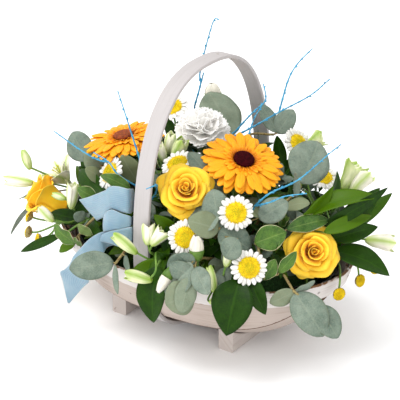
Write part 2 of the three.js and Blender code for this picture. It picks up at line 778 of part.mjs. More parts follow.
const alstroemerias = [
  { name: 'alstroemeriaLeft', path: [[-104, -48, 104], [-120, -30, 108]], radius: 5.4,
    buds: [
      [[-178, -58, 133], [-189, -56, 152], [[-150, -28, 112], [-168, -43, 124]]],
      [[-179, -52, 115], [-213, -60, 113], [[-150, -28, 108], [-170, -38, 112]]],
      [[-102, -86, 120], [-104, -78, 146], [[-100, -72, 108]]],
      [[-110, -84, 128], [-125, -88, 131], [[-100, -66, 112]]],
      [[-122, -90, 102], [-140, -92, 114], [[-112, -74, 98]]],
    ],
    open: { at: [-151, -37, 123], face: [-0.45, -0.4, 0.8] } },
  { name: 'alstroemeriaFront', path: [[16, -92, 106]], radius: 5.6,
    buds: [
      [[5, -119, 115], [-19, -127, 133]],
      [[13, -113, 124], [9, -106, 144]],
      [[17, -113, 125], [25, -101, 140]],
      [[31, -130, 99], [7, -143, 105], [[22, -112, 118], [35, -130, 111]]],
    ] },
  { name: 'alstroemeriaCentre', path: [[84, -88, 104]], radius: 4.8,
    buds: [
      [[88, -110, 95], [77, -104, 118]],
      [[84, -113, 84], [95, -102, 90]],
      [[92, -98, 118], [92, -87, 137]],
    ] },
  { name: 'alstroemeriaRight', path: [[106, 44, 112]], radius: 6.2,
    buds: [
      [[121, 64, 143], [128, 82, 169]],
      [[131, 64, 142], [140, 82, 162]],
      [[156, 52, 103], [181, 69, 100]],
      [[77, 66, 178], [90, 78, 189]],
    ] },
];

function openFlower({ at, face }, room) {
  const matrix = pose(at, face);
  const tube = turned([[0, -16], [1.6, -16], [3.4, -6], [4.4, 0], [0, 1]], 7, room);
  const petals = [];
  for (let i = 0; i < 6; i += 1) {
    const angle = (i / 6) * 2 * Math.PI;
    const inner = i % 2;
    const out = new THREE.Vector3(Math.cos(angle), Math.sin(angle), 0);
    const side = new THREE.Vector3(-out.y, out.x, 0);
    const surface = (u, v) => {
      const share = Math.sin(Math.PI * (0.1 + 0.8 * THREE.MathUtils.clamp(u, 0, 1)));
      const half = (7 - 1.6 * inner) * share - 1 + room;
      return new THREE.Vector3(0, 0, -4 + 2 * inner + 21 * u)
        .addScaledVector(out, 3 + (12 - 5 * inner) * u * u)
        .addScaledVector(side, (2 * v - 1) * half);
    };
    petals.push(sheet(surface, 2, 1, bladeThickness + 2 * room));
  }
  return [tube, ...petals].map((one) => moved(one, matrix));
}

for (const { name, path: places, radius, buds, open } of alstroemerias) {
  const path = planted(places, 1.6);
  const stalks = buds.map(([foot, tip, bends]) => {
    const [end, top] = [point(foot), point(tip)];
    const lead = end.clone().multiplyScalar(1.35).sub(top.clone().multiplyScalar(0.35));
    const before = bends ? bends.map(point) : [lead.lerp(path.at(-1), 0.25)];
    return { end, top, places: [...before, end.clone().lerp(top, 0.12)] };
  });
  if (open) {
    stalks.push({ places: [point(open.at).addScaledVector(point(open.face).normalize(), -13)] });
  }
  place(name, budLime, (room) => [
    stem(path, 1.6 + room),
    ...stalks.map((stalk) => branch(path, stalk.places, 1.1, room)),
    ...stalks.filter(({ end }) => end).map(({ end, top }) => bud(end, top, radius, room, 5)),
    ...(open ? openFlower(open, room) : []),
  ]);
}

// Foliage. A leaf is [foot, tip, width, roll]; a spray's path runs from above the foam to its end.

const eucalyptus = {
  eucalyptusTrailFront: {
    path: [[60, -84, 112], [66, -112, 118], [70, -119, 106], [71, -121, 94]],
    leaves: [
      [[71, -121, 95], [54, -141, 86], 29],
      [[68, -118, 110], [50, -128, 121], 20],
      [[70, -118, 104], [81, -111, 114], 16],
      [[66, -112, 118], [55, -121, 130], 15],
    ],
  },
  eucalyptusTrailRight: {
    path: [[130, -60, 106], [142, -66, 102], [150, -68, 96], [162, -62, 88], [170, -58, 84]],
    leaves: [
      [[150, -68, 95], [185, -70, 62], 33],
      [[169, -58, 83], [194, -60, 58], 25],
      [[149, -68, 96], [134, -86, 88], 17],
      [[150, -67, 97], [165, -56, 106], 12, 40],
    ],
  },
  eucalyptusLowLeft: {
    path: [[-20, -86, 112], [-16, -112, 108], [-17, -124, 101]],
    leaves: [
      [[-19, -125, 101], [-54, -150, 96], 28],
      [[-17, -125, 99], [-7, -135, 75], 8],
      [[-12, -116, 107], [1, -127, 99], 8],
    ],
  },
  eucalyptusCentre: {
    path: [[58, -62, 128], [70, -76, 140], [75, -83, 148]],
    leaves: [
      [[75, -83, 148], [55, -66, 176], 27],
      [[75, -84, 147], [56, -106, 158], 26],
      [[75, -84, 146], [103, -73, 130], 28],
      [[48, -50, 172], [15, -48, 198], 21],
    ],
  },
  eucalyptusRight: {
    path: [[80, -24, 132], [96, -28, 148], [106, 4, 160], [106, 8, 168]],
    leaves: [
      [[106, 8, 168], [116, 38, 200], 41],
      [[112, -10, 162], [117, -16, 190], 12, 50],
      [[98, -50, 150], [116, -30, 166], 25],
      [[108, -20, 154], [130, -14, 162], 17],
    ],
  },
  eucalyptusBack: {
    path: [[22, 34, 150], [22, 42, 184], [44, 58, 186]],
    forks: [[[22, 38, 164], [6, 54, 168], [-8, 60, 170]]],
    leaves: [
      [[-9, 60, 170], [-49, 72, 199], 40, -60],
      [[46, 60, 188], [24, 62, 213], 17, -60],
      [[47, 60, 187], [53, 77, 209], 21, 50],
    ],
  },
  eucalyptusLeft: {
    path: [[-62, -40, 128], [-84, -48, 150], [-110, -34, 150], [-132, -27, 147]],
    forks: [[[-62, -40, 128], [-110, -14, 118], [-150, -18, 104], [-175, -42, 101]]],
    leaves: [
      [[-126, -28, 146], [-152, -22, 168], 28, 20],
      [[-92, -40, 146], [-116, -38, 168], 30, 20],
      [[-84, -52, 142], [-98, -66, 158], 16, -40],
      [[-50, -44, 148], [-62, -54, 176], 22, 30],
      [[-176, -44, 104], [-202, -50, 90], 20, 20],
      [[-174, -44, 100], [-201, -70, 59], 11, 20],
      [[-100, -30, 150], [-113, 8, 159], 22],
    ],
  },
};

for (const [name, spray] of Object.entries(eucalyptus)) {
  leafySpray(name, 'eucalyptus', eucalyptusGrey, spray);
}

const ruscus = {
  ruscusRight: {
    path: [[118, 2, 116], [138, 2, 124], [146, 8, 126]],
    leaves: [
      [[146, -4, 128], [176, 42, 167], 23],
      [[143, 12, 122], [174, 68, 154], 14],
      [[150, -2, 124], [184, 24, 138], 16],
      [[152, -2, 112], [203, 20, 95], 31],
      [[126, 24, 141], [128, 45, 172], 16],
    ],
  },
  ruscusFrontLeft: {
    path: [[20, -84, 104], [26, -112, 110]],
    leaves: [
      [[27, -117, 107], [36, -137, 58], 32],
      [[24, -108, 108], [-4, -122, 84], 20],
    ],
  },
  ruscusFrontRight: {
    path: [[96, -72, 106], [104, -92, 110]],
    leaves: [
      [[106, -96, 108], [112, -128, 66], 40],
      [[112, -88, 108], [136, -94, 80], 20],
    ],
  },
  ruscusLeft: {
    path: [[-80, -58, 108], [-94, -78, 104], [-102, -92, 97]],
    leaves: [
      [[-106, -98, 95], [-149, -112, 70], 11, -20],
      [[-88, -98, 91], [-103, -107, 80], 12],
      [[-74, -92, 119], [-52, -102, 112], 18],
    ],
  },
};

for (const [name, spray] of Object.entries(ruscus)) {
  leafySpray(name, 'ruscus', ruscusGreen, spray);
}

const pittosporum = {
  pittosporumLeft: {
    path: [[-44, -70, 116], [-58, -92, 128], [-66, -100, 122], [-82, -104, 100]],
    leaves: [
      [[-30, -82, 160], [-55, -96, 174], 13],
      [[-64, -92, 144], [-82, -100, 153], 14],
      [[-78, -110, 98], [-103, -113, 113], 17],
      [[-60, -105, 111], [-77, -108, 118], 10],
      [[-70, -109, 97], [-78, -112, 106], 8],
    ],
  },
  pittosporumRight: {
    path: [[104, -52, 116], [110, -70, 132], [122, -78, 112], [132, -70, 110]],
    leaves: [
      [[107, -72, 136], [129, -52, 147], 25],
      [[123, -80, 106], [130, -72, 126], 14],
      [[133, -70, 112], [146, -60, 134], 12],
      [[122, -40, 142], [148, -6, 148], 17],
    ],
  },
};

for (const [name, spray] of Object.entries(pittosporum)) {
  leafySpray(name, 'pittosporum', pittosporumGreen, spray);
}

// Painted birch twigs: forked runs of thin straight stretches

const twigs = [
  { name: 'twigsLeft', path: [[-24, -60, 140], [-34, -62, 184]],
    forks: [
      [[-34, -62, 184], [-52, -56, 216], [-68, -50, 242]],
      [[-26, -60, 150], [-45, -80, 169], [-61, -76, 178], [-86, -68, 179]],
      [[-61, -76, 178], [-84, -62, 169], [-116, -50, 167], [-159, -40, 174]],
      [[-24, -60, 140], [-4, -78, 158], [8, -90, 176], [15, -103, 183], [9, -109, 180]],
    ] },
  { name: 'twigsBack', path: [[-50, 52, 150], [-53, 58, 194]],
    forks: [
      [[-53, 58, 194], [-47, 60, 219], [-48, 60, 229], [-44, 62, 252], [-34, 64, 288], [-28, 65, 290]],
      [[-47, 60, 219], [-43, 60, 232]],
    ] },
  { name: 'twigsRight', path: [[14, 20, 150], [18, 20, 190], [20, 24, 195]],
    forks: [
      [[18, 20, 190], [34, 30, 200], [54, 50, 215], [78, 68, 232], [93, 80, 249]],
      [[54, 50, 215], [58, 60, 247], [65, 66, 264], [76, 74, 279]],
      [[20, 24, 195], [35, 31, 216], [42, 44, 227], [34, 52, 240]],
      [[16, 20, 180], [36, 20, 194], [32, 40, 207], [38, 52, 225]],
    ] },
  { name: 'twigsFront', path: [[72, -34, 128], [91, -48, 161]],
    forks: [
      [[91, -48, 161], [109, -50, 180], [125, -26, 189], [136, 8, 205], [145, 16, 215]],
      [[91, -48, 161], [113, -56, 174], [124, -48, 180], [143, -40, 185]],
    ] },
];

for (const { name, path, forks } of twigs) {
  const runs = forked(path, forks, 1.2);
  place(name, twigBlue, (room) => runs.map((run, i) => stem(run, (i ? 0.8 : 1.2) + room)));
}

// The far side: two spreading sprays that close it

leafySpray('eucalyptusFar', 'eucalyptus', eucalyptusGrey, {
  path: [[-6, 44, 112], [-8, 62, 140]],
  forks: [
    [[-8, 62, 140], [-34, 80, 136], [-62, 86, 128], [-92, 84, 116]],
    [[-8, 62, 140], [14, 82, 134], [46, 92, 124], [76, 92, 112]],
  ],
  leaves: [
    [[-34, 80, 138], [-45, 80, 173], 26],
    [[-62, 88, 128], [-70, 118, 116], 28],
    [[-84, 84, 122], [-98, 62, 146], 27],
    [[-94, 86, 114], [-128, 92, 98], 28],
    [[8, 78, 136], [-9, 95, 161], 28],
    [[42, 92, 124], [36, 122, 106], 30],
    [[60, 92, 120], [70, 98, 146], 26],
    [[78, 92, 112], [110, 98, 98], 28],
  ],
});
leafySpray('ruscusFar', 'ruscus', ruscusGreen, {
  path: [[-20, 56, 100], [-24, 84, 106]],
  forks: [
    [[-24, 84, 106], [-56, 92, 104], [-84, 88, 102]],
    [[-24, 84, 106], [4, 94, 106], [40, 92, 104]],
  ],
  leaves: [
    [[-24, 86, 108], [-31, 124, 83], 34],
    [[-56, 94, 104], [-66, 118, 78], 26],
    [[-84, 90, 102], [-112, 112, 85], 28],
    [[22, 96, 108], [26, 126, 80], 30],
    [[42, 94, 104], [62, 116, 80], 28],
  ],
});

// Foam last, so that every stem stands in a hole of its own

function foamBlock() {
  const [x, y, cut] = [foamHalfLength, foamHalfWidth, foamCorner];
  const outline = [[x, cut - y], [x, y - cut], [x - cut, y], [cut - x, y], [-x, y - cut], [-x, cut - y],
    [cut - x, -y], [x - cut, -y]];
  const shape = new THREE.Shape(outline.map(([a, b]) => new THREE.Vector2(a, b)));
  const block = new THREE.ExtrudeGeometry(shape, { depth: foamTop - foamFoot, bevelEnabled: false });
  block.translate(0, 0, foamFoot);
  return [solidOf(block)];
}

place('foam', wetFoam, foamBlock);

const bounds = new THREE.Box3().setFromObject(arrangement);
const middle = bounds.getCenter(new THREE.Vector3());
arrangement.position.set(-middle.x, -middle.y, -bounds.min.z);

export default arrangement;
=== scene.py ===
# Flower basket arrangement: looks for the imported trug, its flowers, foliage, twigs and bow.
import math

import bmesh
import bpy
import numpy as np
from mathutils import Matrix, Vector


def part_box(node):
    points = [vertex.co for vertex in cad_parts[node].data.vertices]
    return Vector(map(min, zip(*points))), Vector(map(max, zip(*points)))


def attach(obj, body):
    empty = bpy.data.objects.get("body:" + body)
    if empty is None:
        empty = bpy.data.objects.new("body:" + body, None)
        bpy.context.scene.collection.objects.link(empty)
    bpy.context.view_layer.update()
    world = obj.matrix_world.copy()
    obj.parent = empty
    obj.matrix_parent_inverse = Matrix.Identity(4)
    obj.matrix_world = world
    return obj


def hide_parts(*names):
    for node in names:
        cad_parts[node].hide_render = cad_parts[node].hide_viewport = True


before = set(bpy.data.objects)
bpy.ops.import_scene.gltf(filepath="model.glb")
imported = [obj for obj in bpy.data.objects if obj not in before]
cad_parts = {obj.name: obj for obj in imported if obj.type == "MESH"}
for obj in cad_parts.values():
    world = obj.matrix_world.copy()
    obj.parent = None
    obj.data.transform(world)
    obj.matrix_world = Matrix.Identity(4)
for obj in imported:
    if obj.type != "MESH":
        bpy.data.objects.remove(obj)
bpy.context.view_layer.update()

# Places below are millimetres from the middle of the trug, at the height of its feet.
handleLow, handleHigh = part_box("handle")
trugMiddle = np.array([(handleLow.x + handleHigh.x) / 2, (handleLow.y + handleHigh.y) / 2, 0.0])
golden = math.radians(137.508)
fullTurn = 2 * math.pi


def inFrame(places):
    return np.asarray(places, float) / 1000 + trugMiddle


def fromFrame(places):
    return (np.array(places) - trugMiddle) * 1000


def unit(vectors):
    vectors = np.asarray(vectors, float)
    return vectors / np.maximum(1e-9, np.linalg.norm(vectors, axis=-1, keepdims=True))


def turned(vector, degrees, axis):
    return np.array(Matrix.Rotation(math.radians(degrees), 3, Vector(axis))) @ vector


def stacked(x, y, z):
    return np.stack(np.broadcast_arrays(x, y, z), -1)


def lanes(rows, columns):
    # Shares along a sheet, from 0 to 1, and across it, from -1 to 1
    return np.linspace(0, 1, rows)[:, None], np.linspace(-1, 1, columns)[None]


class Wire:
    # A value in a node tree; arithmetic with it adds Math nodes
    def __init__(self, tree, socket):
        self.tree, self.socket = tree, socket

    def __abs__(self):
        return calc("ABSOLUTE", self)


def treeOf(*terms):
    return next(term.tree for term in terms if isinstance(term, Wire))


def addNode(tree, kind, inputs, **settings):
    node = tree.nodes.new(kind)
    for key, value in settings.items():
        setattr(node, key, value)
    for key, value in inputs.items():
        if isinstance(value, Wire):
            tree.links.new(value.socket, node.inputs[key])
        else:
            node.inputs[key].default_value = value
    return node


def wire(tree, kind, inputs=None, out=0, **settings):
    return Wire(tree, addNode(tree, kind, inputs or {}, **settings).outputs[out])


def connect(node, results):
    for label, result in results.items():
        result.tree.links.new(result.socket, node.inputs[label])


def calc(operation, *terms):
    return wire(treeOf(*terms), "ShaderNodeMath", dict(enumerate(terms)), operation=operation)


for sign, operation in {"add": "ADD", "sub": "SUBTRACT", "mul": "MULTIPLY", "truediv": "DIVIDE"}.items():
    setattr(Wire, f"__{sign}__", lambda self, other, kind=operation: calc(kind, self, other))
    setattr(Wire, f"__r{sign}__", lambda self, other, kind=operation: calc(kind, other, self))


def spread(value, low, high, toLow=0.0, toHigh=1.0, smooth=False):
    return wire(value.tree, "ShaderNodeMapRange", {0: value, 1: low, 2: high, 3: toLow, 4: toHigh},
                interpolation_type="SMOOTHSTEP" if smooth else "LINEAR")


def mixColor(factor, a, b, blend="MIX"):
    return wire(treeOf(factor, a, b), "ShaderNodeMix", {0: factor, 6: a, 7: b}, 2, data_type="RGBA",
                blend_type=blend, clamp_factor=True)


def noiseOf(vector, scale, detail=3.0, rough=0.55, distortion=0.0):
    return wire(vector.tree, "ShaderNodeTexNoise", {"Vector": vector, "Scale": scale, "Detail": detail,
                                                    "Roughness": rough, "Distortion": distortion}, "Fac")


def stretched(vector, scale):
    return wire(vector.tree, "ShaderNodeVectorMath", {0: vector, 1: scale}, operation="MULTIPLY")


def vectorOf(x, y, z):
    return wire(treeOf(x, y, z), "ShaderNodeCombineXYZ", {0: x, 1: y, 2: z})


def split(vector):
    parts = addNode(vector.tree, "ShaderNodeSeparateXYZ", {0: vector}).outputs
    return Wire(vector.tree, parts[0]), Wire(vector.tree, parts[1])


def color(code):
    # From a hex code to linear light
    parts = [int(code[i:i + 2], 16) / 255 for i in (1, 3, 5)]
    return tuple(p / 12.92 if p <= 0.04045 else ((p + 0.055) / 1.055) ** 2.4 for p in parts) + (1.0,)


def newTree(name, kind, inputs, outputs):
    # An input is given by its usual value or, where it has none, by its kind
    tree = bpy.data.node_groups.new(name, kind)
    for label, value in inputs.items():
        form = {float: "Float", int: "Int"}.get(type(value), value)
        socket = tree.interface.new_socket(name=label, in_out="INPUT", socket_type=f"NodeSocket{form}")
        if form != value:
            socket.default_value = value
    for label, form in outputs.items():
        tree.interface.new_socket(name=label, in_out="OUTPUT", socket_type=f"NodeSocket{form}")
    source = tree.nodes.new("NodeGroupInput")
    given = {label: Wire(tree, source.outputs[label]) for label in inputs}
    return tree, given, tree.nodes.new("NodeGroupOutput")


def inputsOf(tree):
    return {item.name: item.identifier for item in tree.interface.items_tree if item.in_out == "INPUT"}


def makeLeafGroup():
    tree, given, out = newTree("leafPattern", "ShaderNodeTree", {
        "Sheet": "Vector", "Place": "Vector", "Tone": 0.5, "Light": "Color", "Dark": "Color",
        "Vein": "Color", "Vein Strength": 0.4, "Side Veins": 9.0, "Slant": 3.0, "Edge": "Color",
        "Edge Width": 0.0, "Mottle": 0.4, "Warm": "Color", "Warm Share": 0.0, "Dullness": 0.5,
    }, {"Color": "Color", "Roughness": "Float", "Height": "Float"})
    place, tone, mottle = given["Place"], given["Tone"], given["Mottle"]
    along, offset = split(given["Sheet"])
    across = abs(offset - 0.5) * 2.0
    rib = spread(across, 0.02, 0.085, 1.0, 0.0, smooth=True)
    phase = along * given["Side Veins"] - across * given["Slant"]
    wobble = noiseOf(stretched(place, (60, 60, 60)), 1.0, 2.0)
    wave = abs(calc("SINE", (phase + wobble * 0.5) * math.pi))
    side = spread(wave, 0.0, 0.2, 1.0, 0.0, smooth=True) * spread(across, 0.95, 0.2, 0.15, 0.8)
    veins = calc("MAXIMUM", rib, side)
    blotch = noiseOf(place, 95.0, 4.0, 0.6)
    speck = noiseOf(place, 800.0, 3.0, 0.7) - 0.5
    shade = spread(blotch, 0.34, 0.66) * mottle + tone * (1.0 - mottle) + speck * mottle * 2.2
    body = mixColor(shade, given["Dark"], given["Light"])
    body = mixColor(spread(tone + given["Warm Share"], 0.9, 1.1), body, given["Warm"])
    veined = mixColor(veins * given["Vein Strength"], body, given["Vein"])
    rag = noiseOf(place, 260.0, 3.0)
    edge = calc("GREATER_THAN", across, 1.0 - given["Edge Width"] * (0.35 + rag * 1.3))
    connect(out, {"Color": mixColor(edge, veined, given["Edge"]), "Height": blotch * 0.5 - veins,
                  "Roughness": spread(blotch, 0.3, 0.7, given["Dullness"] - 0.07, given["Dullness"] + 0.1)})
    return tree


def makePetalGroup():
    tree, given, out = newTree("petalPattern", "ShaderNodeTree", {
        "Sheet": "Vector", "Place": "Vector", "Tone": 0.5, "Foot": "Color", "Body": "Color", "Tip": "Color",
        "Shade": "Color", "Foot Reach": 0.3, "Tip Reach": 0.25, "Streaks": 9.0, "Streak Strength": 0.3,
        "Rib": "Color", "Rib Strength": 0.0, "Rib Width": 0.3,
    }, {"Color": "Color", "Height": "Float"})
    tone = given["Tone"]
    length, width = split(given["Sheet"])
    streak = noiseOf(vectorOf(length * 1.6, width * given["Streaks"], tone * 7.0), 1.0, 3.0, 0.6)
    rag = (streak - 0.5) * 0.35
    along = length + rag
    mixed = mixColor(spread(along, 0.0, given["Foot Reach"], 1.0, 0.0), given["Body"], given["Foot"])
    mixed = mixColor(spread(along, 1.0 - given["Tip Reach"], 1.02), mixed, given["Tip"])
    mixed = mixColor(spread(streak, 0.56, 0.34) * given["Streak Strength"], mixed, given["Shade"])
    rib = spread(abs(width - 0.5) * 2.0 + rag, 0.0, given["Rib Width"], 1.0, 0.0)
    mixed = mixColor(rib * given["Rib Strength"], mixed, given["Rib"])
    patch = spread(noiseOf(given["Place"], 70.0, 2.0), 0.3, 0.7, 0.93, 1.03)
    light = patch * spread(tone, 0.0, 1.0, 0.9, 1.05)
    grey = wire(tree, "ShaderNodeCombineColor", {0: light, 1: light, 2: light})
    connect(out, {"Color": mixColor(1.0, mixed, grey, "MULTIPLY"), "Height": streak})
    return tree


def makeGrainGroup():
    tree, given, out = newTree("paintedGrain", "ShaderNodeTree", {
        "Sheet": "Vector", "Place": "Vector", "Corner": 0.0, "Paint": "Color", "Thin Paint": "Color",
        "Bare Wood": "Color", "Wear": 0.3, "Grain": 0.5,
    }, {"Color": "Color", "Roughness": "Float", "Height": "Float"})
    strip, place = given["Sheet"], given["Place"]
    grain = noiseOf(stretched(strip, (14.0, 420.0, 1.0)), 1.0, 5.0, 0.62, 0.4)
    fine = noiseOf(stretched(strip, (60.0, 1500.0, 1.0)), 1.0, 2.0)
    cloud = noiseOf(place, 26.0, 3.0, 0.5)
    thin = spread(grain * 0.6 + cloud * 0.4, 0.5, 0.66) * given["Grain"]
    painted = mixColor(thin, given["Paint"], given["Thin Paint"])
    painted = mixColor(spread(fine, 0.55, 0.8, 0.0, 0.25), painted, given["Thin Paint"])
    # Brown at the strips' edges: worn bare wood, and on the rim and boards also painted shadow lines under
    # the rim band and along the lapped board edges
    wearAndShadeScore = given["Corner"] * 0.75 + (noiseOf(place, 130.0, 4.0) - 0.5) - (0.95 - given["Wear"] * 0.6)
    wornAndShaded = spread(wearAndShadeScore, 0.0, 0.12)
    connect(out, {"Color": mixColor(wornAndShaded, painted, given["Bare Wood"]),
                  "Roughness": spread(grain, 0.3, 0.7, 0.62, 0.86),
                  "Height": grain + fine * 0.4 - wornAndShaded * 0.7})
    return tree


def makeFleckGroup():
    tree, given, out = newTree("fleckedSkin", "ShaderNodeTree", {
        "Place": "Vector", "Low": "Color", "High": "Color", "Fleck": "Color", "Scale": 120.0, "Flecks": 0.2,
    }, {"Color": "Color", "Height": "Float"})
    broad = noiseOf(given["Place"], given["Scale"], 4.0, 0.6)
    small = noiseOf(given["Place"], given["Scale"] * 5.0, 2.0)
    body = mixColor(spread(broad, 0.35, 0.65), given["Low"], given["High"])
    spots = calc("GREATER_THAN", small + given["Flecks"] * 0.3, 0.72)
    connect(out, {"Color": mixColor(spots * 0.8, body, given["Fleck"]), "Height": broad * 0.6 + small * 0.4})
    return tree


leafPattern, petalPattern, paintedGrain, fleckedSkin = (
    makeLeafGroup(), makePetalGroup(), makeGrainGroup(), makeFleckGroup())
print("shader groups made")

shaderSockets = {"roughness": "Roughness", "glow": "Subsurface Weight", "glowDepth": "Subsurface Scale",
                 "glowTint": "Subsurface Radius", "gloss": "Specular IOR Level", "sheen": "Sheen Weight",
                 "coatRoughness": "Coat Roughness", "anisotropy": "Anisotropic"}
feeds = {"Sheet": ("ShaderNodeUVMap", 0, {"uv_map": "UVMap"}), "Place": ("ShaderNodeTexCoord", "Object", {}),
         "Tone": ("ShaderNodeAttribute", "Fac", {"attribute_name": "tone"}),
         "Corner": ("ShaderNodeAttribute", "Fac", {"attribute_name": "edge"})}


def feed(tree, label):
    kind, output, settings = feeds[label]
    return wire(tree, kind, out=output, **settings)


def startMaterial(name, **constants):
    material = bpy.data.materials.new(name)
    material.use_nodes = True
    shader = material.node_tree.nodes["Principled BSDF"]
    for key, value in constants.items():
        shader.inputs[shaderSockets[key]].default_value = value
    return material, material.node_tree, shader


def bump(shader, height, strength, distance):
    connect(shader, {"Normal": wire(height.tree, "ShaderNodeBump", {
        "Height": height, "Strength": strength, "Distance": distance})})


def patternMaterial(name, pattern, look):
    # A look's keys are inputs of the shader or of the pattern, such as veinStrength for Vein Strength
    material, tree, shader = startMaterial(name, **{key: look[key] for key in look if key in shaderSockets})
    inputs = {}
    for label in inputsOf(pattern):
        value = look.get(label[0].lower() + label[1:].replace(" ", ""))
        if label in feeds:
            inputs[label] = feed(tree, label)
        elif value is not None:
            inputs[label] = color(value) if isinstance(value, str) else value
    node = addNode(tree, "ShaderNodeGroup", inputs, node_tree=pattern)
    results = {output.name: Wire(tree, output) for output in node.outputs}
    bump(shader, results.pop("Height"), look["bump"], look.get("depth", 0.0004))
    connect(shader, {"Base Color": results.pop("Color"), **results})
    return material


def ribbonMaterial(name, dark, light, edge, ribs, weft):
    material, tree, shader = startMaterial(name, roughness=0.38, sheen=0.25, anisotropy=0.3, glow=0.1,
                                           glowDepth=0.002)
    length, width = split(feed(tree, "Sheet"))
    ribWave = calc("SINE", width * (ribs * fullTurn))
    weftWave = calc("SINE", length * (weft * fullTurn))
    selvedge = calc("GREATER_THAN", abs(width - 0.5), 0.465)
    cloud = noiseOf(feed(tree, "Place"), 55.0, 2.0)
    body = mixColor(spread(ribWave * 0.12 + cloud, 0.25, 0.75), color(dark), color(light))
    connect(shader, {"Base Color": mixColor(selvedge * 0.6, body, color(edge))})
    bump(shader, ribWave + weftWave * 0.3 + selvedge * 1.5, 0.5, 0.00012)
    return material


leaves = {
    "eucalyptusLeaf": dict(light="#849081", dark="#4f6053", vein="#949d87", veinStrength=0.22, sideVeins=6.0,
        slant=2.6, dullness=0.62, mottle=0.5, bump=0.25, edge="#6d795e", edgeWidth=0.025, warm="#747c59",
        warmShare=0.14, gloss=0.25),
    "ruscusLeaf": dict(light="#2c5004", dark="#0d2702", vein="#33590d", veinStrength=0.3, sideVeins=0.6,
        slant=8.0, dullness=0.4, gloss=0.12, mottle=0.35, bump=0.3, edge="#2c5004", warm="#436205",
        warmShare=0.32),
    "pittosporumLeaf": dict(light="#54762a", dark="#294914", vein="#7c9349", veinStrength=0.35, sideVeins=7.0,
        slant=2.0, dullness=0.45, gloss=0.25, mottle=0.6, edge="#b3b388", edgeWidth=0.045, warm="#5c6f38",
        warmShare=0.2),
    "sepalLeaf": dict(light="#5f8026", dark="#345614", vein="#7c9943", veinStrength=0.3, sideVeins=0.5,
        slant=5.0, dullness=0.5, edge="#5f8026", warm="#5f8026"),
}
petals = {
    "gerberaPetal": dict(foot="#f8930c", body="#fba616", tip="#ffb424", shade="#ee840a", streakStrength=0.45,
        footReach=0.35),
    "gerberaFringePetal": dict(foot="#a8380f", body="#f39a16", tip="#ffb01c", shade="#d8701a", streaks=5.0,
        footReach=0.5),
    # The rose's deeper orange petal feet, down in the bloom, are partly the petals' own colour and partly
    # painted shade of the gaps between the petals
    "rosePetal": dict(foot="#ffb014", body="#ffc526", tip="#ffcf3c", shade="#ffba1e", streaks=8.0,
        streakStrength=0.15, sheen=0.08, footReach=0.4, tipReach=0.3, bump=0.1),
    "carnationPetal": dict(foot="#eeecdf", body="#f5f3ef", tip="#f9f7f3", shade="#e6e4de", glow=0.4,
        streakStrength=0.2, roughness=0.6, bump=0.1),
    "carnationBudPetal": dict(foot="#b9c48c", body="#e2dccb", tip="#e9e3d6", shade="#cfcab2", streaks=6.0,
        streakStrength=0.5, roughness=0.6, bump=0.2),
    "daisyPetal": dict(foot="#d3d5bc", body="#eae8e2", tip="#f2f0ea", shade="#bdbab0", streaks=7.0,
        streakStrength=0.5, roughness=0.6),
    "alstroemeriaPetal": dict(foot="#b4cc62", body="#f4f1dc", tip="#e9ecc0", shade="#e8d8c6", streaks=7.0,
        streakStrength=0.35, roughness=0.45, footReach=0.45, rib="#9dbb45", ribStrength=0.85, ribWidth=0.5),
    "limeBudPetal": dict(foot="#93b23c", body="#e8ecbc", tip="#a3bf4c", shade="#c4d48a", streaks=6.0,
        streakStrength=0.5, roughness=0.45, footReach=0.4, tipReach=0.3, rib="#86a836", ribStrength=0.9,
        ribWidth=0.6),
}
skins = {
    "greenStem": dict(low="#4c7327", high="#729240", fleck="#7d5f34", roughness=0.5, flecks=0.1),
    "woodyStem": dict(low="#7d6e44", high="#998b58", fleck="#5f4227", flecks=0.5),
    "paintedTwig": dict(low="#2f87b1", high="#53a6c7", fleck="#2a6582", scale=200.0, flecks=0.5,
        roughness=0.55),
    "gerberaEye": dict(low="#1a0306", high="#34060c", fleck="#481014", scale=300.0, flecks=0.5, roughness=0.9,
        gloss=0.04),
    "gerberaEyeBrown": dict(low="#42130d", high="#873218", fleck="#ae5f20", scale=300.0, flecks=0.6,
        roughness=0.85),
    "daisyDisc": dict(low="#cfae04", high="#eed312", fleck="#a89a0a", scale=260.0, flecks=0.4,
        roughness=0.75),
    "daisyDiscHeart": dict(low="#aaa810", high="#c9bd14", fleck="#86900c", scale=260.0, flecks=0.4,
        roughness=0.75),
    "wetFoam": dict(low="#27431f", high="#3f6b34", fleck="#16260f", scale=420.0, flecks=0.6, roughness=0.95,
        bump=0.8, depth=0.001),
    "pickWire": dict(low="#38463a", high="#52645a", fleck="#26302a", roughness=0.45),
    "nailHead": dict(low="#8b8580", high="#b7b1ab", fleck="#5d4a3c", scale=500.0, flecks=0.5, roughness=0.4,
        gloss=0.6),
    "linerFilm": dict(low="#141614", high="#242824", fleck="#303630", scale=60.0, roughness=0.35, gloss=0.5,
        depth=0.002),
}
woods = {
    "hoopWood": dict(paint="#b2adac", thinPaint="#97918d", bareWood="#775d48", wear=0.02, grain=0.25),
    # The strong edge wear on the rim and boards gives brown edge lines: partly bare wood, partly painted
    # shadow under the rim band and under each lapped board
    "rimWood": dict(paint="#d4cecb", thinPaint="#b8aaa2", bareWood="#73553d", wear=0.6, grain=0.55),
    "boardsWood": dict(paint="#b8aaa1", thinPaint="#978375", bareWood="#5d4230", wear=1.25, grain=0.6),
    "battensWood": dict(paint="#c2b8b2", thinPaint="#ad9d94", bareWood="#6d4e35", wear=0.18, grain=0.6),
}
satin = {"dark": "#678a9f", "light": "#86a1ae", "edge": "#9cafb6", "ribs": 13.0, "weft": 160.0}
finish = {"satinRibbon": ribbonMaterial("satinRibbon", **satin)}
